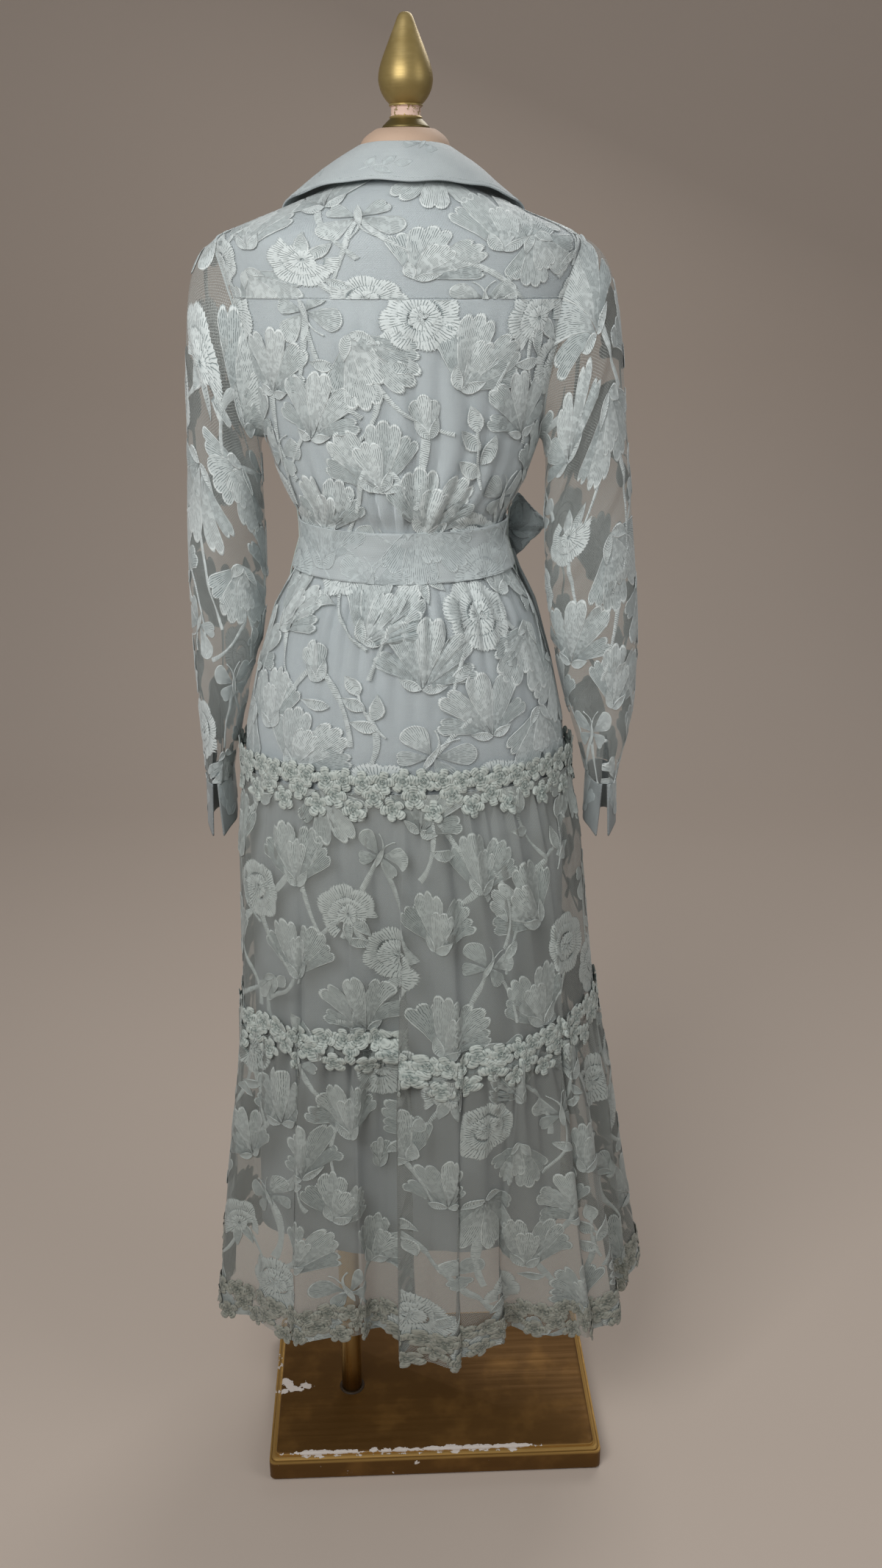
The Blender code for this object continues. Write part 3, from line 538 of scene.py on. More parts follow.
def make_olive_gold():
    material, tree = new_material("olive_gold_paint_on_wood")
    place = on_object(tree)
    height = split(place)[2] - finial_low.z
    band = ease(height, 0.01, 0.0118) * ease(height, 0.0212, 0.0192)
    wear = use(worn_paint, Place=place, Chips=band * 0.95 + 0.02, Size=230.0)
    bare = wear["Bare"]
    paint = mixed(wear["Rubbed"], (0.32, 0.235, 0.086, 1.0), (0.47, 0.36, 0.155, 1.0))
    paint = mixed(ease(height, 0.0098, 0.0085), paint, (0.13, 0.098, 0.03, 1.0))
    turned = noise(stretched(place, (20.0, 20.0, 1500.0)), 1.0, 2.0)
    return finish(material, {
        "Base Color": mixed(bare, paint, (0.63, 0.45, 0.37, 1.0)),
        "Metallic": bare * -0.6 + 0.6,
        "Roughness": bare * 0.35 + ease(turned, 0.3, 0.7, 0.36, 0.46)},
        turned * 0.15 - bare, 0.0003)


stretch = (finial_high.z - finial_low.z) / FINIAL_PROFILE[-1][1]
turning = spun([(radius, height * stretch) for radius, height in FINIAL_PROFILE], 72)
shift(turning, (*finial_middle.xy, finial_low.z))
put_in("finial_turned", turning, make_olive_gold(), ["finial"], 50.0)


# Lining: plain satin-backed cloth, sleeveless, cut as a back and two fronts and seamed at the
# waist to a skirt lining that hangs free as a slip below the hips.  It lies on the form.
SLIP = (
    # height, half width, depth to the back, depth to the front
    (0.985, 0.1834, 0.1174, 0.1094),
    (0.6, 0.192, 0.1, 0.108),
    (0.347, 0.198, 0.09, 0.11),
)
SLIP_HEM = SLIP[-1][0]
SLIP_FOLDS = (
    # middle, half width (degrees), height in mm
    (-62, 15, 5), (-38, 12, -3), (-14, 14, 5), (12, 12, -4), (33, 14, 5), (61, 13, -3),
    (84, 12, 4), (118, 16, 5), (146, 12, -3), (172, 14, 4), (205, 15, -3), (232, 14, 5),
)
HIP_SEAM = 0.985
WAIST = 1.245
ARM_MIDDLE = 1.4545
ARM_HALF = 0.0945
ARM_DEPTH = 0.043
V_BOTTOM = 1.47
V_HALF_TOP = 0.048
LINING_OUT = 0.0011
LINING_THREADS = 3600.0
slip_sizes = smoothed(SLIP)
slip_heights, (slip_width, slip_back, slip_front) = slip_sizes


def armhole_depth(height):
    """Half of the armhole's depth, front to back, at a height."""
    return ARM_DEPTH * np.sqrt(capped(1.0 - ((height - ARM_MIDDLE) / ARM_HALF) ** 2))


def side_angle(height, front=False):
    """Where a back or front panel ends: side seam, armhole or shoulder."""
    depth = np.interp(height, body_heights, body_front if front else body_back)
    edge = np.arccos((armhole_depth(height) + 0.0002) / depth)
    return pi - edge if front else edge


def v_angle(height):
    """The edge of the fronts, which open in a V above the top button."""
    width = np.interp(height, body_heights, body_width)
    rise = capped((height - V_BOTTOM) / (NECK_SEAM - V_BOTTOM))
    return pi - np.arcsin((0.0002 + V_HALF_TOP * rise) / width)


def bumps(angle, folds):
    """Rounded folds at their angles, in degrees: middle, half width and height in mm."""
    rise = np.zeros_like(angle)
    for middle, half, size in folds:
        away = (np.degrees(angle) - middle + 180.0) % 360.0 - 180.0
        fold = np.abs(np.cos(pi / 2 * away / half)) ** 0.9
        rise += np.where(np.abs(away) < half, fold, 0.0) * size
    return rise * 0.001


BACK_FOLDS = (
    # middle, half width (degrees), height in mm: drawn in over the belt
    (-71, 8, 5), (-57, 6, 7.5), (-46, 5, 3.75), (-36, 5, 10), (-25, 5, 5), (-16, 4, 10),
    (-8, 4, 6.25), (1, 4, 11.25), (10, 4, 6.25), (19, 5, 10), (29, 4, 6.25), (38, 5, 8.75),
    (50, 6, 5), (62, 7, 7.5), (75, 7, 3.75),
)
BLOUSE_EASE = (
    # height, ease and height of the folds as a share, from the yoke to the belt
    (1.5, 0.0, 0.0),
    (1.491, 0.0006, 0.03),
    (1.475, 0.0022, 0.3),
    (1.455, 0.003, 0.42),
    (1.4, 0.004, 0.52),
    (1.36, 0.0045, 0.68),
    (1.32, 0.006, 0.9),
    (1.3, 0.0062, 1.0),
    (1.286, 0.0046, 0.9),
    (1.274, 0.0012, 0.35),
    (1.245, 0.0, 0.0),
)
TOP_FOLDS = (
    # the same for the gathers under the belt
    (-80, 5.5, 5), (-69, 5.5, 7.5), (-60, 4.4, 6.25), (-50, 4.4, 8.75), (-41, 3.3, 6.25),
    (-34, 3.3, 10), (-27, 3.3, 6.25), (-20, 3.3, 10), (-13, 3.3, 7.5), (-6, 3.3, 10),
    (1, 3.3, 7.5), (8, 3.3, 10), (15, 3.3, 8.75), (23, 4.4, 10), (31, 3.3, 6.25),
    (39, 4.4, 8.75), (48, 4.4, 6.25), (57, 4.4, 8.75), (67, 5.5, 6.25), (77, 5.5, 6.25),
)
HIP_EASE = (
    # the same from the belt to the hip seam
    (1.245, 0.0, 0.0),
    (1.216, 0.0004, 0.1),
    (1.2, 0.0024, 0.75),
    (1.18, 0.004, 1.0),
    (1.14, 0.0034, 0.7),
    (1.1, 0.0022, 0.34),
    (1.04, 0.001, 0.08),
    (0.985, 0.0, 0.0),
)
blouse_sizes, hip_sizes = smoothed(BLOUSE_EASE, spread=4), smoothed(HIP_EASE, spread=4)


def stood_off(height, table, folds, small):
    """How far lace stands off the form by a table's ease and its share of the folds."""
    ease_out, share = (np.interp(height, table[0], column) for column in table[1])
    return ease_out + share * (folds + small)


def blouse_out(height, angle):
    """The bodice is eased, and folded more towards the belt, where its folds drift apart."""
    drift = 0.1 * np.sin(height * 31.0) * capped((1.45 - height) / 0.2)
    folds = bumps(angle + drift * np.sin(angle * 3.0), BACK_FOLDS)
    folds += bumps(pi - angle - drift * 0.7, BACK_FOLDS)
    small = 0.0005 * np.sin(angle * 61.0 + 3.0 * np.sin(angle * 7.0))
    out = stood_off(height, blouse_sizes, folds, small)
    return out * (np.cos(angle) ** 2 * 0.85 + 0.15)


def hip_out(height, angle):
    """The skirt top's gathers run straight down and fade."""
    folds = bumps(angle, TOP_FOLDS) + bumps(pi - angle, TOP_FOLDS)
    small = 0.0004 * np.sin(angle * 83.0 + 2.0 * np.sin(angle * 11.0))
    out = stood_off(height, hip_sizes, folds, small)
    return out * (np.abs(np.cos(angle)) ** 1.2 * 0.85 + 0.15)


def lining_surface(height, angle):
    """Close to the form down to the hips, and hanging in folds as a slip below them."""
    drop = capped((HIP_SEAM - height) / (HIP_SEAM - SLIP_HEM))
    fold = bumps(angle + 0.1 * drop, SLIP_FOLDS) * drop ** 1.5
    folded = np.where(height > WAIST, blouse_out(height, angle), 0.75 * hip_out(height, angle))
    on_body = moved_out(bare_body, height, angle, LINING_OUT + 0.85 * folded)
    hanging = moved_out(lambda *place: ellipse(slip_sizes, *place), height, angle,
                        LINING_OUT - 0.0015 + fold)
    share = capped((0.99 - height) / 0.012)[..., None]
    return on_body * (1.0 - share) + hanging * share


def sheet_points(heights, edges, columns, surface):
    """A grid of a surface's points between two edges, which may differ from row to row."""
    first, last = (edge(heights) if callable(edge) else np.full_like(heights, edge)
                   for edge in edges)
    angle = first[:, None] + (last - first)[:, None] * np.linspace(0.0, 1.0, columns)
    return surface(np.repeat(heights[:, None], columns, axis=1), angle)


def make_weave():
    """Fine crossing threads: their height, and the tone of single threads."""
    given, out = new_group("plain_weave", ("Place",), ("Threads",), ("Height", "Tone"))
    across, down, _ = split(given["Place"])
    checks = (across * given["Threads"]).maths("SINE") * (down * given["Threads"]).maths("SINE")
    slub, slub_down = (noise(stretched(given["Place"], (across_scale, down_scale, 40.0)), 1.0)
                       for across_scale, down_scale in ((40.0, 900.0), (900.0, 40.0)))
    tone = (slub + slub_down) * 0.5
    connect(out, {"Height": checks * 0.3 + tone, "Tone": tone})
    return out.id_data


plain_weave = make_weave()


def make_lining_cloth():
    material, tree = new_material("lining_cloth")
    weave = use(plain_weave, Place=on_cloth(tree), Threads=LINING_THREADS)
    tone = weave["Tone"] * 0.6 + noise(on_object(tree), 9.0) * 0.4
    return finish(material, {
        "Base Color": mixed(ease(tone, 0.3, 0.7), LINING_DEEP, LINING_PALE),
        "Roughness": ease(weave["Tone"], 0.35, 0.65, 0.48, 0.62),
        "Sheen Weight": 0.25, "Sheen Roughness": 0.4}, weave["Height"], 0.00012)


LINING_DEEP = (0.52, 0.58, 0.612, 1.0)
LINING_PALE = (0.59, 0.65, 0.68, 1.0)
lining_cloth = make_lining_cloth()
rows_of_bodice = np.linspace(NECK_SEAM, WAIST + 0.0004, 90)
rows_of_slip = np.linspace(WAIST - 0.0004, SLIP_HEM, 200)
BACK_EDGES = (lambda height: -side_angle(height), side_angle)
RIGHT_EDGES = (lambda height: side_angle(height, True), v_angle)
LEFT_EDGES = (lambda height: tau - v_angle(height), lambda height: tau - side_angle(height, True))
LINING_PARTS = (
    # CAD node, rows, edges, columns
    ("lining_back", rows_of_bodice, BACK_EDGES, 70),
    ("lining_front_right", rows_of_bodice, RIGHT_EDGES, 40),
    ("lining_front_left", rows_of_bodice, LEFT_EDGES, 40),
    ("slip_back", rows_of_slip, (-pi / 2, pi / 2), 110),
    ("slip_front", rows_of_slip, (pi / 2, pi * 1.5), 110),
)


def declare(piece):
    """Measures a sheet of cloth: its flat width and length from its UVs, and its own area; none of
    them is kept.
    """
    width, length = np.ptp(read_out(piece.data.uv_layers["cloth"].uv, "vector", 2), axis=0)
    builder = bmesh.new()
    builder.from_mesh(piece.data)
    area = sum(face.calc_area() for face in builder.faces)
    builder.free()


for node, heights, edges, columns in LINING_PARTS:
    points = sheet_points(heights, edges, columns, lining_surface)
    piece = wrap_sheet(node + "_cloth", points, lining_cloth, [node])
    declare(piece)


# Lace: a fine sheer net with flowers, leaves and butterflies sewn on in thick thread, each
# edged with a cord.  A drawing is made flat in metres and then laid over its panel of net.
CORD_HEIGHT = 0.0007
NET_CELL = 0.0019
THREAD_DEEP = (0.215, 0.265, 0.272, 1.0)
THREAD_PALE = (0.72, 0.78, 0.775, 1.0)
NET_COLOUR = (0.56, 0.62, 0.62, 1.0)


def make_satin_stitch():
    """Shade and height of satin stitches; Stitch holds their count across, cord and tone."""
    given, out = new_group("satin_stitch", ("Stitch", "Place"), ("Gap",), ("Shade", "Height"))
    place = given["Place"]
    count, cord, tone = split(given["Stitch"])
    count = noise(place, 150.0, 2.0) * 0.9 + count
    away = (count.maths("FRACT") - 0.5).maths("ABSOLUTE")
    broken = ease(noise(place, 210.0, 1.0), 0.38, 0.56, 0.15, 1.0)
    # painted shade: the grooves between stitches darken the thread's colour as well as its height
    groove = ease(away * 2.0, given["Gap"] * -1.0 + 1.0, 1.0) * broken
    strand = noise(place, 1500.0, 2.0)
    cord_line = ease(cord, 0.2, 0.7)
    connect(out, {
        "Shade": tone * 0.13 + 0.44 + groove * -0.52 + strand * 0.26 + cord_line * 0.34,
        "Height": cord_line * 0.6 - groove + strand * 0.3})
    return out.id_data


def make_net_holes():
    """Cover of a net of three crossing sets of threads."""
    given, out = new_group("net_holes", ("Place",), ("Cell", "Thread"), ("Cover",))
    across, down, _ = split(given["Place"])
    across = noise(given["Place"], 60.0, 1.0) * 0.0016 + across
    threads = []
    for lean, turn in ((1.0, 0.577), (1.0, -0.577), (0.0, 1.155)):
        cells = ((down * turn + across * lean) / given["Cell"]).maths("FRACT")
        near = (cells - 0.5).maths("ABSOLUTE") - 0.5
        threads.append(ease(near, given["Thread"] * -0.62, given["Thread"] * -0.38))
    connect(out, {"Cover": threads[0].maths("MAXIMUM", threads[1]).maths("MAXIMUM", threads[2])})
    return out.id_data


satin_stitch = make_satin_stitch()
net_holes = make_net_holes()


def make_embroidery(name, deep, pale, gap):
    material, tree = new_material(name)
    stitch = add(tree, "Attribute", {}, attribute_name="stitch")["Vector"]
    thread = use(satin_stitch, Stitch=stitch, Place=on_object(tree), Gap=gap)
    return finish(material, {
        "Base Color": mixed(ease(thread["Shade"], 0.0, 1.0), deep, pale),
        "Roughness": ease(thread["Height"], -0.5, 0.8, 0.8, 0.55),
        "Sheen Weight": 0.3, "Sheen Roughness": 0.35}, thread["Height"], 0.0005)


def make_net(name, colour, haze, thread):
    material, tree = new_material(name)
    cover = use(net_holes, Place=on_cloth(tree), Cell=NET_CELL, Thread=thread)["Cover"]
    fuzz = noise(on_object(tree), 300.0, 2.0)
    return finish(material, {
        "Base Color": mixed(fuzz, colour, tuple(min(1.0, 1.12 * part) for part in colour)),
        "Roughness": ease(fuzz, 0.3, 0.7, 0.7, 0.82),
        "Sheen Weight": 0.2,
        "Alpha": cover * (1.0 - haze) + haze}, cover, 0.0002)


lace_thread = make_embroidery("lace_thread", THREAD_DEEP, THREAD_PALE, 0.4)
lace_net = make_net("lace_net", NET_COLOUR, 0.05, 0.11)


class Panel:
    """A panel of cloth: points and normals, found by their flat place in metres.

    Across is counted from the panel's middle and down from its top edge.  A gathered
    panel keeps one flat width all the way down.
    """

    def __init__(self, points, ring=False, gathered=False):
        self.points, self.ring = points, ring
        ends = np.concatenate((points[:, -2:-1], points, points[:, 1:2]), axis=1)
        across = (ends[:, 2:] - ends[:, :-2]) if ring else np.gradient(points, axis=1)
        self.normals = unit(np.cross(np.gradient(points, axis=0), across))
        self.widths = lengths(points, 1)
        if gathered:
            self.widths[:] = self.widths.mean()
        self.length = lengths(points, 0).mean()

    def at(self, across, down, lift):
        """Points at flat places, lifted off the cloth, and which of them lie on the panel."""
        rows, columns = (count - 1 for count in self.points.shape[:2])
        row = down / self.length * rows
        width = np.interp(row, np.arange(rows + 1), self.widths)
        column = (across / width + 0.5) * columns
        on_panel = (row > -0.001) & (row < rows + 0.001)
        if self.ring:
            column = column % columns
        else:
            on_panel &= (column > -0.001) & (column < columns + 0.001)
        row, column = np.clip(row, 0, rows - 1e-6), np.clip(column, 0, columns - 1e-6)
        i, j = row.astype(int), column.astype(int)
        a, b = (row - i)[:, None], (column - j)[:, None]
        places = []
        for grid in (self.points, self.normals):
            upper = grid[i, j] * (1 - b) + grid[i, j + 1] * b
            lower = grid[i + 1, j] * (1 - b) + grid[i + 1, j + 1] * b
            places.append(upper * (1 - a) + lower * a)
        return places[0] + places[1] * lift[:, None], on_panel


def add_patch(drawing, columns, rows, place):
    """A sewn patch; place gives a flat point, its lift, and its stitch for each corner."""
    stitch = drawing.verts.layers.float_vector["stitch"]
    corners = bmesh.ops.create_grid(drawing, x_segments=len(columns) - 1,
                                    y_segments=len(rows) - 1, size=0.5)["verts"]
    for corner in corners:
        across = columns[round((corner.co.x + 0.5) * (len(columns) - 1))]
        along = rows[round((corner.co.y + 0.5) * (len(rows) - 1))]
        point, sewn = place(across, along)
        corner.co = point
        corner[stitch] = sewn


def new_drawing():
    drawing = bmesh.new()
    drawing.verts.layers.float_vector.new("stitch")
    return drawing


PETAL_COLUMNS = sorted([part / 9 for part in range(-9, 10)] + [-0.945, 0.945])
PETAL_ROWS = (0.0, 0.1, 0.3, 0.55, 0.8, 0.94, 0.97, 1.0)
LEAF_COLUMNS = (-1.0, -0.84, -0.68, 0.0, 0.68, 0.84, 1.0)


def bound(edge, cord):
    """A patch's height and cord by the way in from its edge, where the cord runs round it."""
    share = edge / cord
    return (float(np.interp(share, (0.0, 1.0, 2.0, 8.0), (0.05, 1.0, 0.45, 0.62))),
            max(0.0, 1.0 - abs(share - 1.0)))


def add_petal(drawing, turn, spread, near, far, lift=0.0, lobes=3, tone=0.0, bend=0.0):
    """A fan of satin stitches between two angles, with a cord round its lobed end."""
    def place(across, along):
        fan = 0.45 + 0.55 * sin(pi * (0.1 + 0.62 * along))
        angle = turn + across * spread * fan + bend * along * along
        lobe = abs(sin(pi * lobes * (across + 1.0) / 2.0)) ** 0.6
        end = far * (0.92 - 0.1 * across ** 2 + 0.08 * lobe)
        radius = near + (end - near) * along
        side_height, side_cord = bound(1.0 - abs(across), 0.055)
        tip_height, tip_cord = bound(1.0 - along, 0.03)
        raised = min(side_height, tip_height) if along > 0.03 else 0.3 * side_height
        # painted shade: the tone falls towards the petal's base, where it lies under the petals
        # over it
        return ((radius * sin(angle), radius * cos(angle), lift + CORD_HEIGHT * raised),
                (across * far * spread / 0.0025, max(side_cord, tip_cord),
                 tone - 1.2 * (1 - along) ** 3))
    add_patch(drawing, PETAL_COLUMNS, PETAL_ROWS, place)


def add_ring(drawing, inner, outer, teeth, lobes, lift=0.0, tone=0.0, first=0.0, sweep=tau,
             middle=(0.0, 0.0)):
    """A ring of short radial stitches with a toothed, lobed edge, dark where it dips inside:
    painted shade.
    """
    def place(across, along):
        angle = first + sweep * across
        tooth = (1.0 if round(across * 2 * teeth) % 2 else -1.0) * (0.0006 + 0.0006 * along)
        lobe = 0.88 + 0.12 * abs(sin(lobes * angle / 2.0 + first)) ** 0.7
        lobe += 0.045 * sin(2.0 * angle + 5.0 * first) + 0.03 * sin(3.0 * angle + first)
        radius = inner + (outer * lobe - inner) * along + tooth
        raised = float(np.interp(along, (0.0, 0.14, 0.8, 1.0), (0.0, 0.6, 1.0, 0.4)))
        # painted shade: the tone drops at the ring's inner edge, under the ring that lies inside it
        dark = float(np.interp(along, (0.0, 0.14, 0.8, 1.0), (-4.5, 0.3, 0.9, 1.2)))
        return ((middle[0] + radius * sin(angle), middle[1] + radius * cos(angle),
                 lift + CORD_HEIGHT * raised), (across * teeth, 0.0, tone + dark))
    add_patch(drawing, np.linspace(0.0, 1.0, 2 * teeth + 1), (0.0, 0.14, 0.8, 1.0), place)


def add_leaf(drawing, foot, turn, length, breadth, lift=0.0, tone=0.0, bend=0.25):
    """A pointed leaf of stitches slanting from its midrib, with a cord round it."""
    def place(across, along):
        angle = turn + bend * along
        half = breadth / 2 * sin(pi * along ** 0.78) if 0 < along < 1 else 0.0
        middle = (foot[0] + length * along * sin(angle),
                  foot[1] + length * along * cos(angle))
        raised, corded = bound(1.0 - abs(across), 0.16)
        if along in (0.0, 1.0):
            raised = 0.0
        return ((middle[0] + across * half * cos(angle),
                 middle[1] - across * half * sin(angle), lift + CORD_HEIGHT * raised),
                (along * length / 0.0022 + abs(across) * 1.6, corded, tone))
    add_patch(drawing, LEAF_COLUMNS, (0.0, 0.08, 0.25, 0.45, 0.65, 0.85, 0.95, 1.0), place)


def add_stem(drawing, start, end, sag, breadth=0.0052, lift=0.0, tone=0.0):
    """A roped stem of slanted stitches along a curve between two flat points."""
    start, end = Vector(start), Vector(end)
    run = end - start
    side = Vector((-run.y, run.x)) * sag
    first, second = start + run * 0.3 + side, start + run * 0.72 + side * 0.8
    steps = max(6, round(run.length / 0.007))

    def place(across, along):
        back = 1.0 - along
        point = (start * back ** 3 + first * 3 * back * back * along
                 + second * 3 * back * along * along + end * along ** 3)
        ahead = ((first - start) * back * back + (second - first) * 2 * back * along
                 + (end - second) * along * along).normalized()
        half = breadth / 2 * (0.6 + 0.4 * sin(pi * (0.1 + 1.3 * along)) ** 2)
        flat = point + Vector((ahead.y, -ahead.x)) * across * half
        raised = 0.85 * (1.0 - across * across) ** 0.5
        return ((flat.x, flat.y, lift + CORD_HEIGHT * raised),
                (along * run.length / 0.002 + across * 0.5, 0.28 * (1 - abs(across)), tone + 0.6))
    add_patch(drawing, (-1.0, -0.55, 0.0, 0.55, 1.0), np.linspace(0, 1, steps + 1), place)


def draw_tulip(drawing, size=0.082):
    """A full bloom from the side: ruffled petals one over the other."""
    # the petals lowest down get the darkest tones: painted shade under the petals over them
    for turn, tone in ((-0.62, -0.9), (0.6, -0.7)):
        add_petal(drawing, turn, 0.3, 0.08 * size, 0.86 * size, 0.0, 3, tone, 0.14 * turn)
    for turn, tone in ((-0.3, 0.3), (0.34, -0.1)):
        add_petal(drawing, turn, 0.31, 0.06 * size, 1.0 * size, 0.0003, 3, tone)
    add_petal(drawing, 0.03, 0.33, 0.04 * size, 0.74 * size, 0.0006, 3, 0.7)
    add_leaf(drawing, (0.0, 0.004), -0.95, 0.34 * size, 0.013, 0.0009, 0.3)
    add_leaf(drawing, (0.0, 0.004), 0.95, 0.34 * size, 0.013, 0.0009, 0.3, -0.25)


def draw_lily(drawing, size=0.08):
    """An open bloom of five long petals."""
    # the petals lowest down get the darkest tones: painted shade under the petals over them
    for turn, far, lift, tone in ((-0.86, 0.74, 0.0, -0.7), (0.84, 0.72, 0.0, -0.9),
                                  (-0.44, 0.94, 0.0003, 0.2), (0.42, 0.97, 0.0003, -0.2),
                                  (0.0, 1.0, 0.0006, 0.7)):
        add_petal(drawing, turn, 0.26, 0.05 * size, far * size, lift, 2, tone, 0.2 * turn)
    add_leaf(drawing, (0.0, 0.002), -1.5, 0.3 * size, 0.012, 0.0009, 0.3)
    add_leaf(drawing, (0.0, 0.002), 1.5, 0.3 * size, 0.012, 0.0009, 0.3, -0.25)


def draw_rose(drawing, size=0.068):
    """A rose from above: toothed rings one inside the other."""
    for inner, outer, teeth, lobes, lift, tone, middle in (
            (0.29, 0.56, 62, 7, 0.0, 0.2, (0.0, 0.0)),
            (0.165, 0.345, 38, 5, 0.0003, 0.0, (0.022, -0.026)),
            (0.06, 0.21, 20, 3, 0.0006, 0.2, (-0.02, 0.018))):
        add_ring(drawing, inner * size, outer * size, teeth, lobes, lift, tone, lobes * 1.0,
                 tau, (middle[0] * size, middle[1] * size))
    for turn, length in ((0.5, 0.15), (2.4, 0.12), (3.6, 0.17), (5.3, 0.13)):
        add_leaf(drawing, (0.0, 0.01 * size), turn, length * size, 0.0052, 0.0009, 0.5)


def draw_cut_rose(drawing, size=0.066):
    """A rose from the side: toothed rings cut off by its own leaves."""
    for inner, outer, teeth, lobes, lift, first, sweep in (
            (0.3, 0.56, 44, 6, 0.0, -2.2, 4.3), (0.165, 0.345, 27, 4, 0.0003, -1.7, 4.2),
            (0.02, 0.2, 16, 3, 0.0006, 0.0, tau)):
        add_ring(drawing, inner * size, outer * size, teeth, lobes, lift, 0.3, first, sweep)
    for turn, bend in ((2.45, 0.3), (3.85, -0.3)):
        add_leaf(drawing, (0.0, -0.05 * size), turn, 0.52 * size, 0.016, 0.0006, -0.2, bend)


def draw_butterfly(drawing, size=0.074):
    """Two pairs of wings, or of round leaves, either side of a slim body."""
    for side in (-1, 1):
        add_petal(drawing, side * 1.05, 0.46, 0.03 * size, 0.52 * size, 0.0, 1, 0.3 * side)
        add_petal(drawing, side * 2.12, 0.42, 0.03 * size, 0.4 * size, 0.0006, 2, -0.4)
        add_stem(drawing, (0.0, 0.08 * size), (side * 0.16 * size, 0.36 * size), 0.2 * side,
                 0.0022, 0.0006, 0.5)
    add_leaf(drawing, (0.0, -0.22 * size), 0.0, 0.42 * size, 0.007, 0.001, 0.6, 0.0)


def draw_bud(drawing, size=0.05):
    # each petal lower down gets a darker tone: painted shade under the one over it
    add_petal(drawing, -0.2, 0.24, 0.04 * size, 0.92 * size, 0.0, 1, -0.5)
    add_petal(drawing, 0.24, 0.24, 0.04 * size, 0.88 * size, 0.0003, 1, 0.1)
    add_petal(drawing, 0.02, 0.2, 0.04 * size, size, 0.0006, 1, 0.7)
    add_leaf(drawing, (0.0, 0.002), -0.7, 0.55 * size, 0.011, 0.0009, 0.1)
    add_leaf(drawing, (0.0, 0.002), 0.7, 0.5 * size, 0.011, 0.0009, 0.1, -0.25)


def draw_sprig(drawing, size=0.062):
    add_stem(drawing, (0.0, -0.004), (0.1 * size, 0.98 * size), 0.1, 0.004, 0.0004, 0.2)
    for along, turn, length in ((0.16, -1.0, 0.5), (0.34, 0.9, 0.54), (0.6, -0.75, 0.46),
                                (0.88, 0.22, 0.46)):
        add_leaf(drawing, (0.07 * size * along, along * size), turn, length * size, 0.0175,
                 0.0006, 0.3 * sin(9 * along), 0.22 if turn < 0 else -0.22)


def stamp(draw, *sizes):
    """A motif drawn once, to be set down many times."""
    drawing = new_drawing()
    draw(drawing, *sizes)
    mesh = bpy.data.meshes.new(draw.__name__)
    drawing.to_mesh(mesh)
    drawing.free()
    return mesh


TULIP, LILY, ROSE = stamp(draw_tulip), stamp(draw_lily), stamp(draw_rose)
CUT_ROSE, BUTTERFLY = stamp(draw_cut_rose), stamp(draw_butterfly)
BUD, SPRIG = stamp(draw_bud), stamp(draw_sprig)
TURN_OF_MOTIFS = (TULIP, ROSE, BUTTERFLY, LILY, TULIP, CUT_ROSE, TULIP, BUD, ROSE, TULIP, SPRIG,
                  LILY, BUTTERFLY, TULIP, LILY)
HALF_HEIGHTS = {TULIP.name: 0.038, LILY.name: 0.034, ROSE.name: 0.0, CUT_ROSE.name: 0.0,
                BUTTERFLY.name: 0.0, BUD.name: 0.022, SPRIG.name: 0.03}


def set_down(drawing, mesh, place, turn, scale=1.0, flip=False):
    """A copy of a motif, turned, flipped or scaled and moved to a flat place."""
    before = len(drawing.verts)
    drawing.from_mesh(mesh)
    drawing.verts.ensure_lookup_table()
    added = drawing.verts[before:]
    shape = (Matrix.Translation((*place, 0.0)) @ Matrix.Rotation(-turn, 4, "Z")
             @ Matrix.Diagonal((-scale if flip else scale, scale, 1.0, 1.0)))
    bmesh.ops.transform(drawing, matrix=shape, verts=added)
    if flip:
        faces = {face for corner in added for face in corner.link_faces}
        bmesh.ops.reverse_faces(drawing, faces=list(faces))


def draw_garden(width, length, seed, pitch):
    """Flowers in a half-drop repeat, each with its stems, over a flat width and length."""
    chance = random.Random(seed)
    drawing = new_drawing()
    columns = max(1, round(width / pitch[0]))
    rows = max(1, round(length / pitch[1]))
    step = width / columns
    spots = []
    for row in range(rows + 1):
        for column in range(columns):
            across = -width / 2 + (column + 0.25 + 0.5 * (row % 2)) * step
            spots.append((across + chance.uniform(-0.008, 0.008),
                          -(row + 0.3) * length / (rows + 0.4) + chance.uniform(-0.006, 0.006),
                          TURN_OF_MOTIFS[(3 * row + 4 * column + seed) % len(TURN_OF_MOTIFS)]))
    for across, up, motif in spots:
        for lean in (chance.uniform(-0.85, -0.05), chance.uniform(0.05, 0.85)):
            if chance.random() < 0.62:
                reach = chance.uniform(0.08, 0.13)
                end = (across + reach * sin(lean), up - reach * cos(lean))
                add_stem(drawing, (across, up), end, chance.uniform(-0.3, 0.3),
                         chance.uniform(0.0044, 0.0084), 0.0, chance.uniform(-0.5, 0.4))
                if chance.random() < 0.45:
                    middle = ((across + end[0]) / 2, (up + end[1]) / 2)
                    add_leaf(drawing, middle, lean + chance.choice((-1.0, 1.0)) + pi,
                             chance.uniform(0.026, 0.036), 0.014, 0.0003,
                             chance.uniform(-0.4, 0.4))
    for across, up, motif in spots:
        turn = chance.uniform(-0.6, 0.6) + (pi if chance.random() < 0.25 else 0.0)
        half = HALF_HEIGHTS[motif.name]
        place = (across - half * sin(turn), up - half * cos(turn))
        set_down(drawing, motif, place, turn, chance.uniform(0.88, 1.06), chance.random() < 0.5)
    return drawing


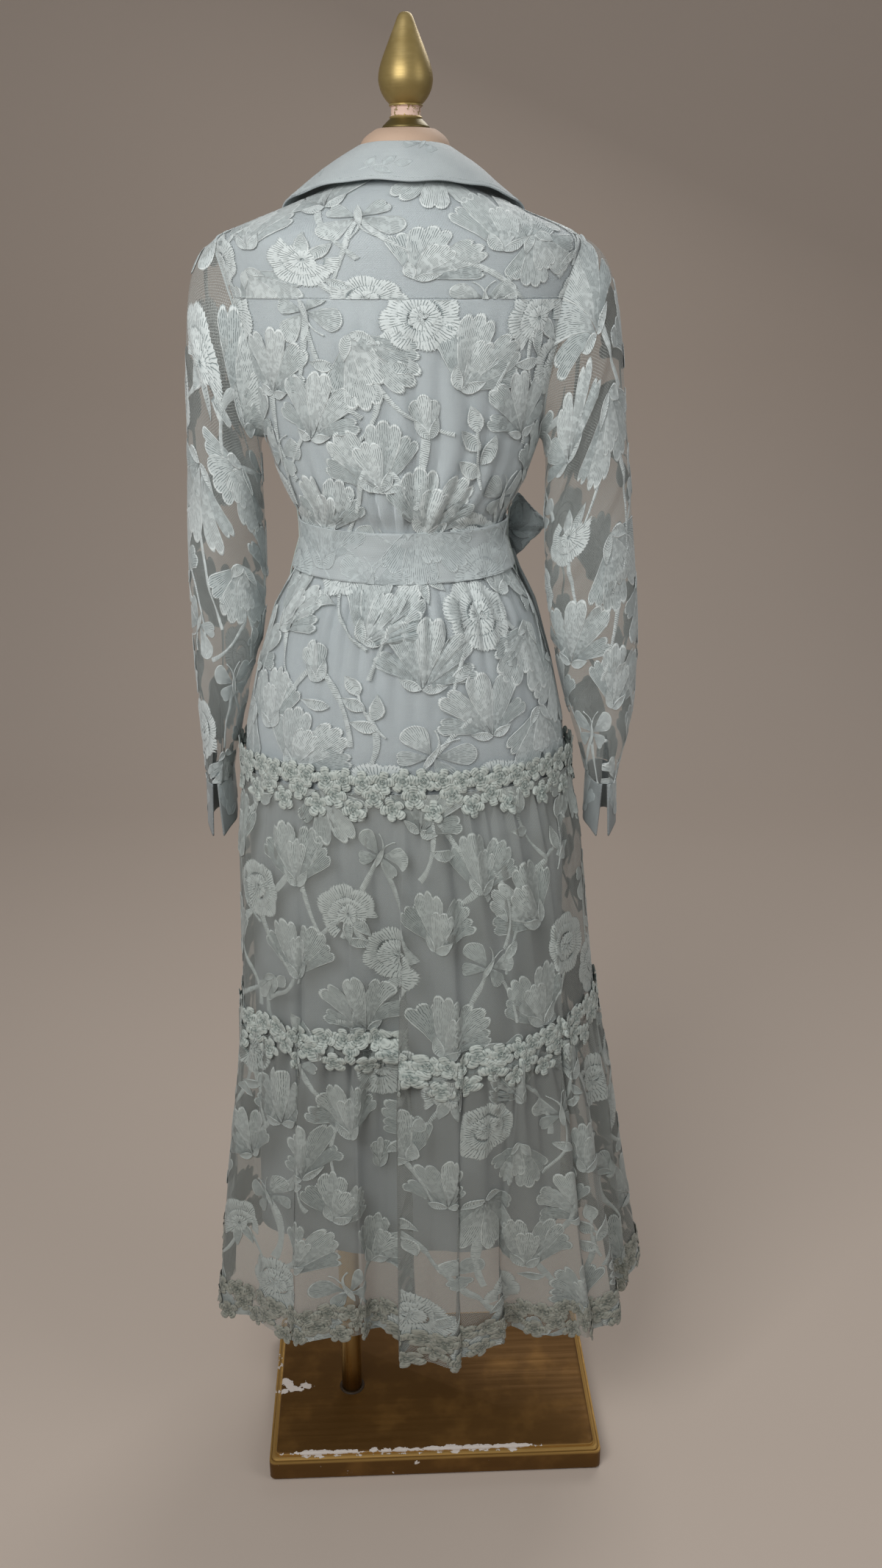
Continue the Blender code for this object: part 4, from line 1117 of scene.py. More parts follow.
def lay_on(name, drawing, panel, material, lift=0.0002, flatten=1.0, nodes=()):
    """Lays a flat drawing on a panel, trimmed where the panel ends."""
    mesh = bpy.data.meshes.new(name)
    drawing.to_mesh(mesh)
    drawing.free()
    flat = read_out(mesh.vertices, "co", 3)
    points, on_panel = panel.at(flat[:, 0], -flat[:, 1], lift + flatten * flat[:, 2])
    mesh.vertices.foreach_set("co", points.ravel())
    builder = bmesh.new()
    builder.from_mesh(mesh)
    cut = [face for face in builder.faces if not any(on_panel[v.index] for v in face.verts)]
    bmesh.ops.delete(builder, geom=cut, context="FACES")
    bpy.data.meshes.remove(mesh)
    return put_in(name, builder, material, nodes, 70.0)


def lace_panel(name, points, seed, nodes, ring=False, gathered=False,
               pitch=(0.106, 0.056), net=None, thread=None, flatten=1.0):
    """A panel of net with its flowers, the net as one sheet that stands for CAD nodes."""
    panel = Panel(points, ring, gathered)
    piece = wrap_sheet(name, points, net or lace_net, nodes, ring)
    width = panel.widths.mean() if ring else panel.widths.max()
    flowers = lay_on(name + "_flowers", draw_garden(width, panel.length, seed, pitch), panel,
                     thread or lace_thread, flatten=flatten)
    declare(piece)
    return panel


# Back yoke: lace over the lining, cut straight across the shoulder blades.  Its lower edge is
# turned in and held down with a row of stitching.
YOKE_SEAM = 1.493
LACE_OUT = 0.0024
rows_of_yoke = np.linspace(NECK_SEAM, YOKE_SEAM + 0.0002, 44)


def smooth_lace(height, angle):
    return moved_out(bare_body, height, angle, LACE_OUT)


yoke_points = sheet_points(rows_of_yoke, BACK_EDGES, 110, smooth_lace)
yoke = lace_panel("yoke_lace", yoke_points, 10, ["yoke_back"],
                  flatten=0.6)


def draw_topstitch(width, down, pitch=0.0032, stitch=0.0024):
    """A row of short raised stitches across a panel."""
    drawing = new_drawing()
    count = int(width / pitch)
    for index in range(count):
        across = -width / 2 + (index + 0.5) * pitch
        add_patch(drawing, (-1.0, 0.0, 1.0), (0.0, 0.5, 1.0), lambda u, v: (
            (across + stitch * (v - 0.5), -down - 0.0004 * u,
             0.0006 * (1 - u * u) * (0.3 + 0.7 * sin(pi * v))), (0.5, 0.9, 0.4)))
    return drawing


seam_stitches = draw_topstitch(yoke.widths[-1], yoke.length - 0.0022)
lay_on("yoke_topstitch", seam_stitches, yoke, lace_thread, 0.0006)


# Back: lace gathered into the yoke and drawn into folds over the belt, so that it blouses a
# little above the waist.  Side seams and armholes join it to the fronts.
def bloused_lace(height, angle):
    return moved_out(bare_body, height, angle, LACE_OUT + blouse_out(height, angle))


rows_of_back = np.linspace(YOKE_SEAM - 0.0002, WAIST + 0.0004, 84)
back_points = sheet_points(rows_of_back, BACK_EDGES, 170, bloused_lace)
lace_panel("back_lace", back_points, 8, ["bodice_back"],
           flatten=0.72)


# Fronts: lace over the lining, open in a V at the neck, with a band of lined lace down the
# middle that carries five pearly buttons, sewn on with thread.
SMOOTH_ABOVE = 1.487
rows_of_front = np.linspace(NECK_SEAM, WAIST + 0.0004, 120)


def front_lace(height, angle):
    above = capped((height - SMOOTH_ABOVE) / 0.012)[..., None]
    return smooth_lace(height, angle) * above + bloused_lace(height, angle) * (1 - above)


for name, edges, seed in (("front_right", RIGHT_EDGES, 12), ("front_left", LEFT_EDGES, 17)):
    points = sheet_points(rows_of_front, edges, 90, front_lace)
    lace_panel(f"{name}_lace", points, seed, [f"bodice_{name}"],
               flatten=0.72)

BAND_HALF = 0.0138
BAND_OUT = 0.004
LINED_THREADS = 3000.0
LINED_CELL = 0.0024
LINED_DEEP = (0.395, 0.445, 0.462, 1.0)
LINED_PALE = (0.505, 0.56, 0.568, 1.0)


def make_lined_lace(name, deep=1.0, pale=1.0):
    """Net pressed on lining cloth: its threads and fine creases stand on the weave."""
    material, tree = new_material(name)
    place = on_cloth(tree)
    weave = use(plain_weave, Place=place, Threads=LINED_THREADS)
    cover = use(net_holes, Place=place, Cell=LINED_CELL, Thread=0.2)["Cover"]
    crease = noise(stretched(place, (14.0, 160.0, 1.0)), 1.0, 4.0, 0.6)
    tone = cover * 0.22 + noise(place, 24.0) * 0.55 + weave["Tone"] * 0.35
    return finish(material, {
        "Base Color": mixed(ease(tone, 0.3, 0.78), tuple(deep * part for part in LINED_DEEP),
                            tuple(pale * part for part in LINED_PALE)),
        "Roughness": ease(weave["Tone"], 0.35, 0.65, 0.58, 0.72),
        "Sheen Weight": 0.25, "Sheen Roughness": 0.4},
        cover * 0.35 + weave["Height"] + crease * 1.4, 0.0003)


lined_lace = make_lined_lace("lined_lace_cloth")
pressed_thread = make_embroidery("pressed_thread", (0.33, 0.385, 0.4, 1.0),
                                 (0.57, 0.635, 0.64, 1.0), 0.3)
band_low, band_high = box_of("placket")[:2]


def on_front(height, across, out):
    """Points down the middle of the front, at a distance across."""
    angle = pi - np.arcsin(across / np.interp(height, body_heights, body_width))
    return moved_out(bare_body, height, angle, out + stood_off(height, blouse_sizes, 0.006, 0.0))


def thicken(piece, thickness, offset=1.0):
    wall = piece.modifiers.new("thickness", "SOLIDIFY")
    wall.thickness = thickness
    wall.offset = offset
    wall.use_even_offset = False
    return piece


band_height, band_across = np.meshgrid(np.linspace(band_high.z - 0.001, band_low.z + 0.001, 70),
                                       np.linspace(BAND_HALF, -BAND_HALF, 13), indexing="ij")
edge_roll = 0.0007 * capped((np.abs(band_across) / BAND_HALF - 0.8) / 0.1)
band_points = on_front(band_height, band_across, BAND_OUT + 0.0004 + edge_roll)
band_piece = thicken(wrap_sheet("front_band", band_points, lined_lace, ["placket"]),
                     0.001)
declare(band_piece)


def make_pearl():
    material, tree = new_material("pearl_button")
    swirl = noise(on_object(tree), 420.0, 4.0)
    return finish(material, {
        "Base Color": mixed(swirl, (0.46, 0.52, 0.53, 1.0), (0.62, 0.66, 0.65, 1.0)),
        "Roughness": ease(swirl, 0.3, 0.7, 0.16, 0.3),
        "Coat Weight": ease(swirl, 0.2, 0.8, 0.5, 0.8)}, swirl, 0.00006)


pearl = make_pearl()
BUTTON_RADIUS = 0.0055
BUTTON_DEPTH = 0.003
BUTTON_PROFILE = (
    # radius and height as shares of the button
    (0.001, -0.5), (0.72, -0.5), (0.9, -0.38), (0.99, -0.1), (1.0, 0.14), (0.94, 0.4),
    (0.82, 0.5), (0.7, 0.46), (0.6, 0.28), (0.4, 0.16), (0.001, 0.14),
)


def make_button(number):
    """A dished shirt button with two bars of thread, seated where the model has it."""
    middle = box_of(f"button_{number}")[2]
    seat = on_front(np.array([middle.z + 0.008, middle.z - 0.008]), np.zeros(2), 0.0)
    across = Vector((1, 0, 0))
    outward = Vector(seat[0] - seat[1]).normalized().cross(across).normalized()
    turn = Matrix((across, outward.cross(across), outward)).transposed()
    button = spun([(radius * BUTTON_RADIUS, height * BUTTON_DEPTH)
                   for radius, height in BUTTON_PROFILE], 40)
    for side in (-1, 1):
        start = len(button.verts)
        bmesh.ops.create_uvsphere(button, u_segments=10, v_segments=6, radius=0.0005)
        button.verts.ensure_lookup_table()
        thread = button.verts[start:]
        bmesh.ops.scale(button, vec=(1.0, 3.4, 0.8), verts=thread)
        bmesh.ops.translate(button, vec=(side * 0.001, 0.0, 0.0008), verts=thread)
    button.transform(Matrix.Translation(middle) @ turn.to_4x4())
    put_in(f"button_{number}_pearl", button, pearl, [f"button_{number}"], 50.0)


for number in range(1, 6):
    make_button(number)


# Collar: a stand round the neck and a leaf that folds down from it, both of lace bonded to
# lining cloth, with a row of stitching along the leaf's edge.
COLLAR = (
    # angle, height of the fold, body height under the edge, edge above the body
    (0.0, 1.632, 1.592, 0.01),
    (30.0, 1.632, 1.591, 0.01),
    (60.0, 1.63, 1.586, 0.009),
    (90.0, 1.624, 1.579, 0.0075),
    (116.0, 1.616, 1.568, 0.0075),
    (140.0, 1.606, 1.548, 0.008),
)
COLLAR_END = 140.0
LEAF_THICKNESS = 0.002
LEAF_BULGE = 0.004
FOLD_OUT = 0.0036
collar_degrees, collar_columns = smoothed(COLLAR[::-1], step=1.0, spread=6)


def collar_sizes(angle):
    """Height of the fold, body height under the edge, and how far the edge stands off."""
    return (np.interp(np.abs(np.degrees(angle)), collar_degrees, column)
            for column in collar_columns)


def leaf_points(share, angle):
    """From the fold (0) over the leaf to its edge (1), a little bulged on the way."""
    fold, under, lift = collar_sizes(angle)
    inner = moved_out(bare_body, fold, angle, FOLD_OUT)
    outer = moved_out(bare_body, under, angle, lift)
    points = inner * (1.0 - share)[..., None] + outer * share[..., None]
    rise = LEAF_BULGE * np.sin(pi * share) + 0.0007 * np.sin(angle * 9.0 + 4.0 * share) * share
    points[..., 2] += rise
    return points


share, angle = np.meshgrid(np.linspace(0.0, 1.0, 26) ** 0.85,
                           np.radians(np.linspace(-COLLAR_END, COLLAR_END, 150)), indexing="ij")
edge_wave = 1.0 + 0.012 * np.sin(angle * 4.0 + 0.6) * share
leaf_grid = leaf_points(share * edge_wave, angle)
leaf_piece = thicken(wrap_sheet("collar_leaf_cloth", leaf_grid, lined_lace,
                                ["collar_leaf"]), LEAF_THICKNESS)
soft_edge = leaf_piece.modifiers.new("turned_edge", "BEVEL")
soft_edge.width = 0.0007
soft_edge.segments = 2
soft_edge.limit_method = "ANGLE"
declare(leaf_piece)
leaf = Panel(leaf_grid)
leaf_drawing = draw_topstitch(leaf.widths[-1] * 0.985, leaf.length - 0.005, 0.003, 0.0022)
lay_on("collar_topstitch", leaf_drawing, leaf, pressed_thread, LEAF_THICKNESS)
collar_flowers = new_drawing()
for motif, place, turn, size in (
        (BUTTERFLY, (0.02, -0.004), 0.3, 0.75), (LILY, (-0.105, -0.03), -2.2, 0.72),
        (TULIP, (0.135, -0.024), 2.0, 0.68), (SPRIG, (-0.045, -0.05), 1.3, 0.7)):
    set_down(collar_flowers, motif, place, turn, size)
lay_on("collar_flowers", collar_flowers, leaf, pressed_thread,
       LEAF_THICKNESS - 0.0002, 0.35)

share, angle = np.meshgrid(np.linspace(0.0, 1.0, 8),
                           np.radians(np.linspace(-COLLAR_END, COLLAR_END, 120)), indexing="ij")
stand_top = np.maximum(list(collar_sizes(angle))[0] - 0.002, NECK_SEAM + 0.008)
stand_height = stand_top * (1.0 - share) + (NECK_SEAM + 0.002) * share
stand_grid = moved_out(bare_body, stand_height, angle, 0.001)
stand_piece = thicken(wrap_sheet("collar_stand_cloth", stand_grid, lined_lace,
                                 ["collar_stand"]), 0.0018)
declare(stand_piece)


# Sleeves: unlined sheer lace, eased into the armholes under a cord, full at the elbow and drawn
# in at the cuffs, with a slit at the back.  The cuffs are lined lace, left unbuttoned.
SLEEVES = (
    # outer and inner x of the right sleeve, then of the left one, which hangs closer to the
    # body; outer height, inner height, middle y, half depth
    (0.206, 0.1515, 0.203, 0.1515, 1.54, 1.348, 0.0, 0.048),
    (0.219, 0.153, 0.217, 0.152, 1.508, 1.33, 0.002, 0.053),
    (0.229, 0.1545, 0.224, 0.152, 1.45, 1.3, 0.004, 0.056),
    (0.24, 0.155, 0.229, 0.152, 1.35, 1.25, 0.006, 0.057),
    (0.25, 0.158, 0.235, 0.1535, 1.26, 1.195, 0.008, 0.057),
    (0.259, 0.164, 0.238, 0.1585, 1.18, 1.145, 0.01, 0.056),
    (0.264, 0.1755, 0.238, 0.1745, 1.115, 1.09, 0.012, 0.054),
    (0.263, 0.191, 0.237, 0.189, 1.05, 1.035, 0.014, 0.051),
    (0.246, 0.213, 0.233, 0.205, 0.966, 0.966, 0.016, 0.044),
)
SLEEVE_END = SLEEVES[-1][4]
ARMHOLE_INSET = 0.0012
SEAM_ALLOWANCE = 0.007
SLIT_TOP = 1.03
SLIT_HALF = 0.24
CREASES = (
    # middle along the sleeve (share), where round it, length round it, height in mm
    (0.16, 1.2, 1.1, 2.2), (0.24, 2.3, 1.0, 1.6), (0.38, 0.9, 1.2, 1.8), (0.47, 2.2, 1.2, 2.4),
    (0.55, 1.3, 1.0, 2.6), (0.62, 2.7, 1.2, 2.2), (0.7, 1.0, 1.0, 2.0), (0.5, 4.2, 1.3, 2.4),
    (0.6, 5.0, 1.0, 2.0), (0.33, 4.8, 1.2, 1.8), (0.8, 2.0, 0.9, 1.8), (0.84, 4.0, 1.1, 1.8),
)


def sleeve_ring_points(row, side, turn):
    """Points round one ring of a sleeve, on the +X side; turn is 0 at its outer line."""
    outer_x, inner_x = row[:2] if side > 0 else row[2:4]
    outer_z, inner_z, middle_y, half_depth = row[4:]
    x = (outer_x + inner_x) / 2 + (outer_x - inner_x) / 2 * np.cos(turn)
    z = (outer_z + inner_z) / 2 + (outer_z - inner_z) / 2 * np.cos(turn)
    return np.stack((x, middle_y - half_depth * np.sin(turn), z), -1)


def armhole_points(turn, inset=ARMHOLE_INSET, out=LACE_OUT + 0.002):
    """A ring that follows the armhole, inside its edge, or beyond it by a negative inset."""
    height = ARM_MIDDLE + (ARM_HALF - inset) * np.cos(turn)
    y = -(ARM_DEPTH - inset) * np.sin(turn)
    depth = np.where(y < 0, np.interp(height, body_heights, body_back),
                     np.interp(height, body_heights, body_front))
    return moved_out(bare_body, height, np.arccos(-y / depth), out)


def sleeve_points(side, columns=96, rows=170):
    """A sleeve's points from the armhole down; its first and last columns meet at the slit."""
    share = np.linspace(0.0, 1.0, columns)
    even = pi / 2 + share * tau
    knots = [armhole_points(even, -SEAM_ALLOWANCE, LACE_OUT - 0.0009), armhole_points(even)]
    knots += [sleeve_ring_points(row, side, even) for row in SLEEVES]
    middles = np.array([knot.mean(0) for knot in knots])
    reach = np.concatenate(([0.0], np.cumsum(np.linalg.norm(np.diff(middles, axis=0), axis=1))))
    grid = np.zeros((rows, columns, 3))
    for row, along in enumerate(np.linspace(0.0, reach[-1], rows)):
        k = min(int(np.searchsorted(reach, along, "right")) - 1, len(knots) - 2)
        part = (along - reach[k]) / (reach[k + 1] - reach[k])
        grid[row] = knots[k] * (1 - part) + knots[k + 1] * part
    grid = blurred(grid, 4.5, 9)
    below = (SLIT_TOP - grid[:, :1, 2]) / (SLIT_TOP - SLEEVE_END)
    opening = SLIT_HALF * capped(below) ** 0.8
    turn = pi / 2 + opening + share[None, :] * (tau - 2 * opening)
    place = (turn - pi / 2) / tau * (columns - 1)
    left = np.clip(place.astype(int), 0, columns - 2)
    part = (place - left)[..., None]
    row_index = np.arange(rows)[:, None]
    grid = grid[row_index, left] * (1 - part) + grid[row_index, left + 1] * part
    down = np.linspace(0.0, 1.0, rows)[:, None]
    out = 0.0018 * np.exp(-down / 0.05) * np.sin(turn * 17.0 + np.sin(turn * 5.0))
    out = out * capped(np.cos(turn) + 0.4)
    out = out + 0.0016 * np.exp(-(1.0 - down) / 0.06) * np.sin(turn * 13.0 + 1.0)
    for middle, where, wide, size in CREASES:
        line = middle + 0.05 * np.sin(turn - where)
        round_it = np.cos(np.clip((turn % tau - where) / wide, -1, 1) * pi / 2) ** 2
        out = out + 0.001 * size * np.exp(-((down - line) / 0.018) ** 2) * round_it
        out = out - 0.0007 * size * np.exp(-((down - line - 0.035) / 0.016) ** 2) * round_it
    out = out * capped(down / 0.03)
    normal = unit(np.cross(np.gradient(grid, axis=0), np.gradient(grid, axis=1)))
    facing = np.sign((normal * (grid - grid.mean(1, keepdims=True))).sum(-1).mean())
    grid = grid + normal * facing * out[..., None]
    grid[..., 0] *= side
    return grid if side < 0 else grid[:, ::-1]


def roped(name, points, radius, material, nodes=()):
    """A round cord along points, closed at its ends."""
    rope = bmesh.new()
    bmesh.ops.create_circle(rope, cap_ends=False, segments=8, radius=radius)
    aim = Vector(points[1] - points[0]).to_track_quat("Z", "X").to_matrix().to_4x4()
    bmesh.ops.transform(rope, matrix=Matrix.Translation(points[0]) @ aim, verts=rope.verts[:])
    ring_edges = rope.edges[:]
    for before, here, after in zip(points, points[1:], [*points[2:], points[-1]]):
        grown = bmesh.ops.extrude_edge_only(rope, edges=ring_edges)["geom"]
        corners = [part for part in grown if isinstance(part, bmesh.types.BMVert)]
        ring_edges = [part for part in grown if isinstance(part, bmesh.types.BMEdge)
                      and all(corner in corners for corner in part.verts)]
        ahead = Vector(after - before)
        bend = aim.to_3x3().col[2].rotation_difference(ahead).to_matrix().to_4x4()
        aim = bend @ aim
        bmesh.ops.transform(rope, verts=corners, matrix=Matrix.Translation(here) @ bend
                            @ Matrix.Translation(-Vector(before)))
    close_up(rope)
    return put_in(name, rope, material, nodes, 60.0)


lace_net_open = make_net("lace_net_of_sleeves", (0.61, 0.65, 0.63, 1.0), 0.1, 0.08)
for side, name, seed in ((-1, "left", 24), (1, "right", 33)):
    lace_panel(f"sleeve_{name}_lace", sleeve_points(side), seed, [f"sleeve_{name}"],
               ring=True, gathered=True, pitch=(0.118, 0.066),
               net=lace_net_open)
    seam = armhole_points(np.linspace(0.0, tau, 97), 0.0004, LACE_OUT + 0.001)
    seam[:, 0] *= side
    roped(f"armhole_seam_{name}", seam, 0.0013, pressed_thread)

CUFF = (
    # height, how far it opens outwards, how far its ends hang down, its opening from the middle
    (0.9652, 0.0, 0.0, 9.0),
    (0.94, 0.001, 0.004, 14.0),
    (0.908, 0.002, 0.011, 22.0),
)


def cuff_points(side):
    """A cuff's points: the sleeve's last ring carried down, open at the back of the arm."""
    top, bottom = CUFF[0][0], CUFF[-1][0]
    height, share = np.meshgrid(np.linspace(top, bottom, 24), np.linspace(0.0, 1.0, 90),
                                indexing="ij")
    rows = np.array(CUFF)[::-1]
    opening, hang, gap = (np.interp(height, rows[:, 0], rows[:, column]) for column in (1, 2, 3))
    turn = np.radians(90 + gap + (360 - 2 * gap) * share)
    points = sleeve_ring_points(SLEEVES[-1], side, turn)
    outer_x, inner_x = SLEEVES[-1][:2] if side > 0 else SLEEVES[-1][2:4]
    outward = points - np.array(((outer_x + inner_x) / 2, SLEEVES[-1][6], 0.0))
    outward[..., 2] = 0.0
    wave = 0.001 * np.sin(turn * 5.0) * (top - height) / 0.057
    points = points + unit(outward) * (opening - 0.0012 + wave)[..., None]
    points[..., 2] = height - hang * np.where(np.sin(turn) > 0, 1.0, 0.8) * np.sin(turn) ** 4
    points[..., 0] *= side
    return points if side < 0 else points[:, ::-1]


def lined_sheet(node, points, material, flowers, sizes, offset=1.0, ring=False):
    """Lined lace with its flowers; sizes are its thickness, and the flowers' lift and height."""
    thickness, lift, flatten = sizes
    piece = wrap_sheet(node + "_cloth", points, material, [node], ring)
    thicken(piece, thickness, offset)
    flower_piece = lay_on(node + "_flowers", flowers, Panel(points, ring), pressed_thread,
                          lift, flatten)
    declare(piece)


def row_of_flowers(motifs, start, step, down, lean, turn):
    """Motifs side by side, each turned a little from the one before."""
    flowers = new_drawing()
    for index, motif in enumerate(motifs):
        set_down(flowers, motif, (start + step * index, down), lean + turn * index, 0.72)
    return flowers


# The cuffs' cloth is a darker copy of the lined lace: painted shade.
shaded_cuff_cloth = make_lined_lace("shaded_cuff_cloth", 0.46, 0.66)
for side, name in ((-1, "left"), (1, "right")):
    flowers = row_of_flowers((TULIP, BUD, BUTTERFLY, LILY), -0.075, 0.045, -0.048, 0.4, -0.3)
    lined_sheet(f"cuff_{name}", cuff_points(side), shaded_cuff_cloth, flowers, (0.0018, 0.0018, 0.5))


# Skirt top: a ring of lace gathered tightly under the belt and lying smooth over the hips, sewn
# to the lining at the hip seam.
def skirt_top_lace(height, angle):
    return moved_out(bare_body, height, angle, LACE_OUT + 0.0004 + hip_out(height, angle))


top_points = sheet_points(np.linspace(WAIST - 0.0004, HIP_SEAM - 0.003, 90), (-pi, pi), 420,
                          skirt_top_lace)
lace_panel("skirt_top_lace", top_points, 34, ["skirt_top_back", "skirt_top_front"],
           ring=True, gathered=True, flatten=0.8)


# Middle and bottom tiers: full rings of lace gathered into the seam above, hanging free of the
# lining in soft folds.  Their run follows the model's own tiers.
KNEE_SEAM = 0.665
HEM = 0.24


def cad_reach(nodes, heights, angles):
    """How far CAD nodes reach from the middle of the dress, looking in from outside."""
    corners, faces = [], []
    for node in nodes:
        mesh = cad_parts[node].data
        faces += [[corner + len(corners) for corner in face.vertices] for face in mesh.polygons]
        corners += [vertex.co.copy() for vertex in mesh.vertices]
    tree = BVHTree.FromPolygons(corners, faces)
    reach = np.full((len(heights), len(angles)), np.nan)
    for row, height in enumerate(heights):
        for column, angle in enumerate(angles):
            outward = Vector((sin(angle), -cos(angle), 0.0))
            start = outward * 0.6 + Vector((0.0, 0.0, height))
            hit = tree.ray_cast(start, -outward)[0]
            if hit is not None and hit.dot(outward) > 0.0:
                reach[row, column] = hit.xy.length
        found = ~np.isnan(reach[row])
        reach[row] = np.interp(angles, np.array(angles)[found], reach[row, found], period=tau)
    return reach


SKIRT_NODES = ["skirt_top_back", "skirt_top_front", "skirt_middle_back", "skirt_middle_front",
               "skirt_bottom_back", "skirt_bottom_front"]
LAPS = (
    # where one fold laps over the next: middle and half width (degrees), how far its edge stands
    # out, and how far it laps at the knee and at the hem, in mm
    (-84, 9, 3, 5, 8), (-48, 10, -5, 9, 13), (-27, 7, 3, 4, 7), (-1, 11, 15, 14, 19),
    (22, 9, -5, 8, 14), (42, 8, 3, 4, 8), (62, 9, 5, 8, 12), (84, 9, -4, 6, 9),
    (115, 9, 4, 5, 11), (151, 10, -4, 5, 11), (-166, 10, 4, 5, 11), (-124, 10, -4, 5, 11),
)
SLIP_ROOM = 0.0075
PANEL_DROP = 0.026
PANEL_EDGE = LAPS[3][0]
PANEL_DEGREES = 46.0


def lapped(angle, height):
    """How far the cloth is drawn sideways, stands out and hangs down where folds lap."""
    drawn, stood = np.zeros(angle.shape), np.zeros(angle.shape)
    for middle, half, edge, knee, hem in LAPS:
        away = np.clip(((np.degrees(angle) - middle + 180.0) % 360.0 - 180.0) / half, -1.0, 1.0)
        size = np.interp(height, (HEM, KNEE_SEAM, HIP_SEAM - 0.05), (hem, knee, 0.0))
        grown = np.interp(height, (KNEE_SEAM, HIP_SEAM - 0.02), (1.0, 0.0))
        drawn -= 0.001 * size * np.sin(pi * away)
        stood += 0.001 * edge * grown * np.tanh(away / 0.1) * (1.0 - np.abs(away)) ** 1.2
    degrees = np.degrees(angle) - PANEL_EDGE
    drop = np.cos(pi / 2 * capped(degrees / PANEL_DEGREES)) ** 2 * (0.5 + 0.5 * np.tanh(degrees))
    drop = drop * PANEL_DROP * capped((HIP_SEAM - 0.03 - height) / 0.26)
    return drawn, np.where(stood < 0.0, 0.6, 1.0) * stood, drop


def tier_points(top, bottom, rows, columns, folds_of, out=-0.001, start=None):
    """A ring of lace on the model's skirt, its columns evenly spaced along the cloth."""
    heights = np.linspace(top, bottom, rows)
    angles = np.linspace(-pi, pi, 361)[:-1]
    inside = np.clip(heights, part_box("skirt_bottom_back")[0][2] + 0.003, None)
    coarse = inside[:: max(1, rows // 36)]
    reach = blurred(cad_reach(SKIRT_NODES, coarse, angles).T, 2.2, 7, ring=True).T
    reach = blurred(reach, 1.5, 5)
    order = np.argsort(coarse)
    full = np.stack([np.interp(heights, coarse[order], reach[order, column])
                     for column in range(len(angles))], axis=1)
    full = np.concatenate((full, full[:, :1]), axis=1) + out
    angles = np.append(angles, pi)
    grid, turned = np.zeros((rows, columns, 3)), np.zeros((rows, columns))
    share = np.linspace(0.0, 1.0, columns)
    for row, height in enumerate(heights):
        x, y = full[row] * np.sin(angles), -full[row] * np.cos(angles)
        run = np.concatenate(([0.0], np.cumsum(np.hypot(np.diff(x), np.diff(y)))))
        even = np.interp(share * run[-1], run, angles)
        radius = np.interp(even, angles, full[row])
        grid[row] = np.stack((radius * np.sin(even), -radius * np.cos(even),
                              np.full_like(even, height)), -1)
        turned[row] = even
    panel = Panel(grid, ring=True)
    turn = share[None, :] * tau
    folds = folds_of(turn, (start or top) - heights[:, None])
    along = unit(np.gradient(grid, axis=1))
    drawn, stood, drop = lapped(turned, heights[:, None])
    grid = grid + panel.normals * (folds + stood)[..., None] + along * drawn[..., None]
    depth = np.where(grid[..., 1] < 0, np.interp(heights, slip_heights, slip_back)[:, None],
                     np.interp(heights, slip_heights, slip_front)[:, None]) + SLIP_ROOM
    width = np.interp(heights, slip_heights, slip_width)[:, None] + SLIP_ROOM
    inside = np.hypot(grid[..., 0] / width, grid[..., 1] / depth)
    grid[..., :2] /= np.minimum(inside, 1.0)[..., None]
    grid[..., 2] -= drop
    return grid


def waves(turn, *rows):
    """Folds round a tier: height, count, phase, and how far their pitch swells and shrinks."""
    return sum(size * np.sin(count * turn + phase + skew * np.sin(3.0 * turn + phase))
               for size, count, phase, skew in rows)


def middle_folds(turn, depth):
    gathers = waves(turn, (0.0042, 57, 0.4, 2.6), (0.002, 91, 1.9, 3.4))
    gathers = gathers * np.exp(-depth / 0.065) * np.clip(depth / 0.014, 0.12, 1.0)
    soft = waves(turn, (0.004, 19, 2.0, 1.9), (0.0028, 31, 0.3, 2.2))
    soft = soft * capped(depth / 0.05) * (0.55 + 0.45 * np.sin(depth * 9.0 + 2.0 * turn))
    return gathers + soft * np.clip((0.325 - depth) / 0.05, 0.35, 1.0)


def bottom_folds(turn, depth):
    gathers = waves(turn, (0.0048, 61, 1.1, 2.8), (0.0022, 97, 0.2, 3.8))
    soft = waves(turn, (0.0062, 21, 0.8, 2.1), (0.004, 34, 2.6, 2.6))
    soft = soft * capped(depth / 0.1) * (0.7 + 0.3 * np.sin(depth * 7.0 + 3.0 * turn))
    return gathers * np.exp(-depth / 0.085) + soft


# The tiers' net and thread are darker copies of the lace above: painted shade lower down the dress.
shaded_tier_net = make_net("lace_net_of_tiers_in_painted_shade", (0.35, 0.375, 0.355, 1.0), 0.22, 0.15)
shaded_tier_thread = make_embroidery("lace_thread_of_tiers_in_painted_shade", (0.145, 0.175, 0.17, 1.0),
                              (0.54, 0.59, 0.565, 1.0), 0.38)
middle_points = tier_points(HIP_SEAM + 0.006, KNEE_SEAM - 0.002, 84, 520, middle_folds)
lace_panel("skirt_middle_lace", middle_points, 43, ["skirt_middle_back", "skirt_middle_front"],
           ring=True, gathered=True, pitch=(0.116, 0.064),
           net=shaded_tier_net, thread=shaded_tier_thread)
bottom_points = tier_points(KNEE_SEAM + 0.004, HEM + 0.006, 108, 640, bottom_folds)
lace_panel("skirt_bottom_lace", bottom_points, 52, ["skirt_bottom_back", "skirt_bottom_front"],
           ring=True, gathered=True, pitch=(0.118, 0.066),
           net=shaded_tier_net, thread=shaded_tier_thread)


# Flower trims: bands of chemical lace, small five-petalled flowers set close together, sewn
# over the hip and knee seams and round the hem.
trim_thread = make_embroidery("trim_thread", (0.178, 0.224, 0.212, 1.0),
                              (0.535, 0.59, 0.555, 1.0), 0.42)
# The hem trim's thread is a darker copy of the trim thread: painted shade near the floor.
shaded_hem_thread = make_embroidery("shaded_hem_thread", (0.11, 0.13, 0.11, 1.0),
                             (0.35, 0.36, 0.31, 1.0), 0.42)


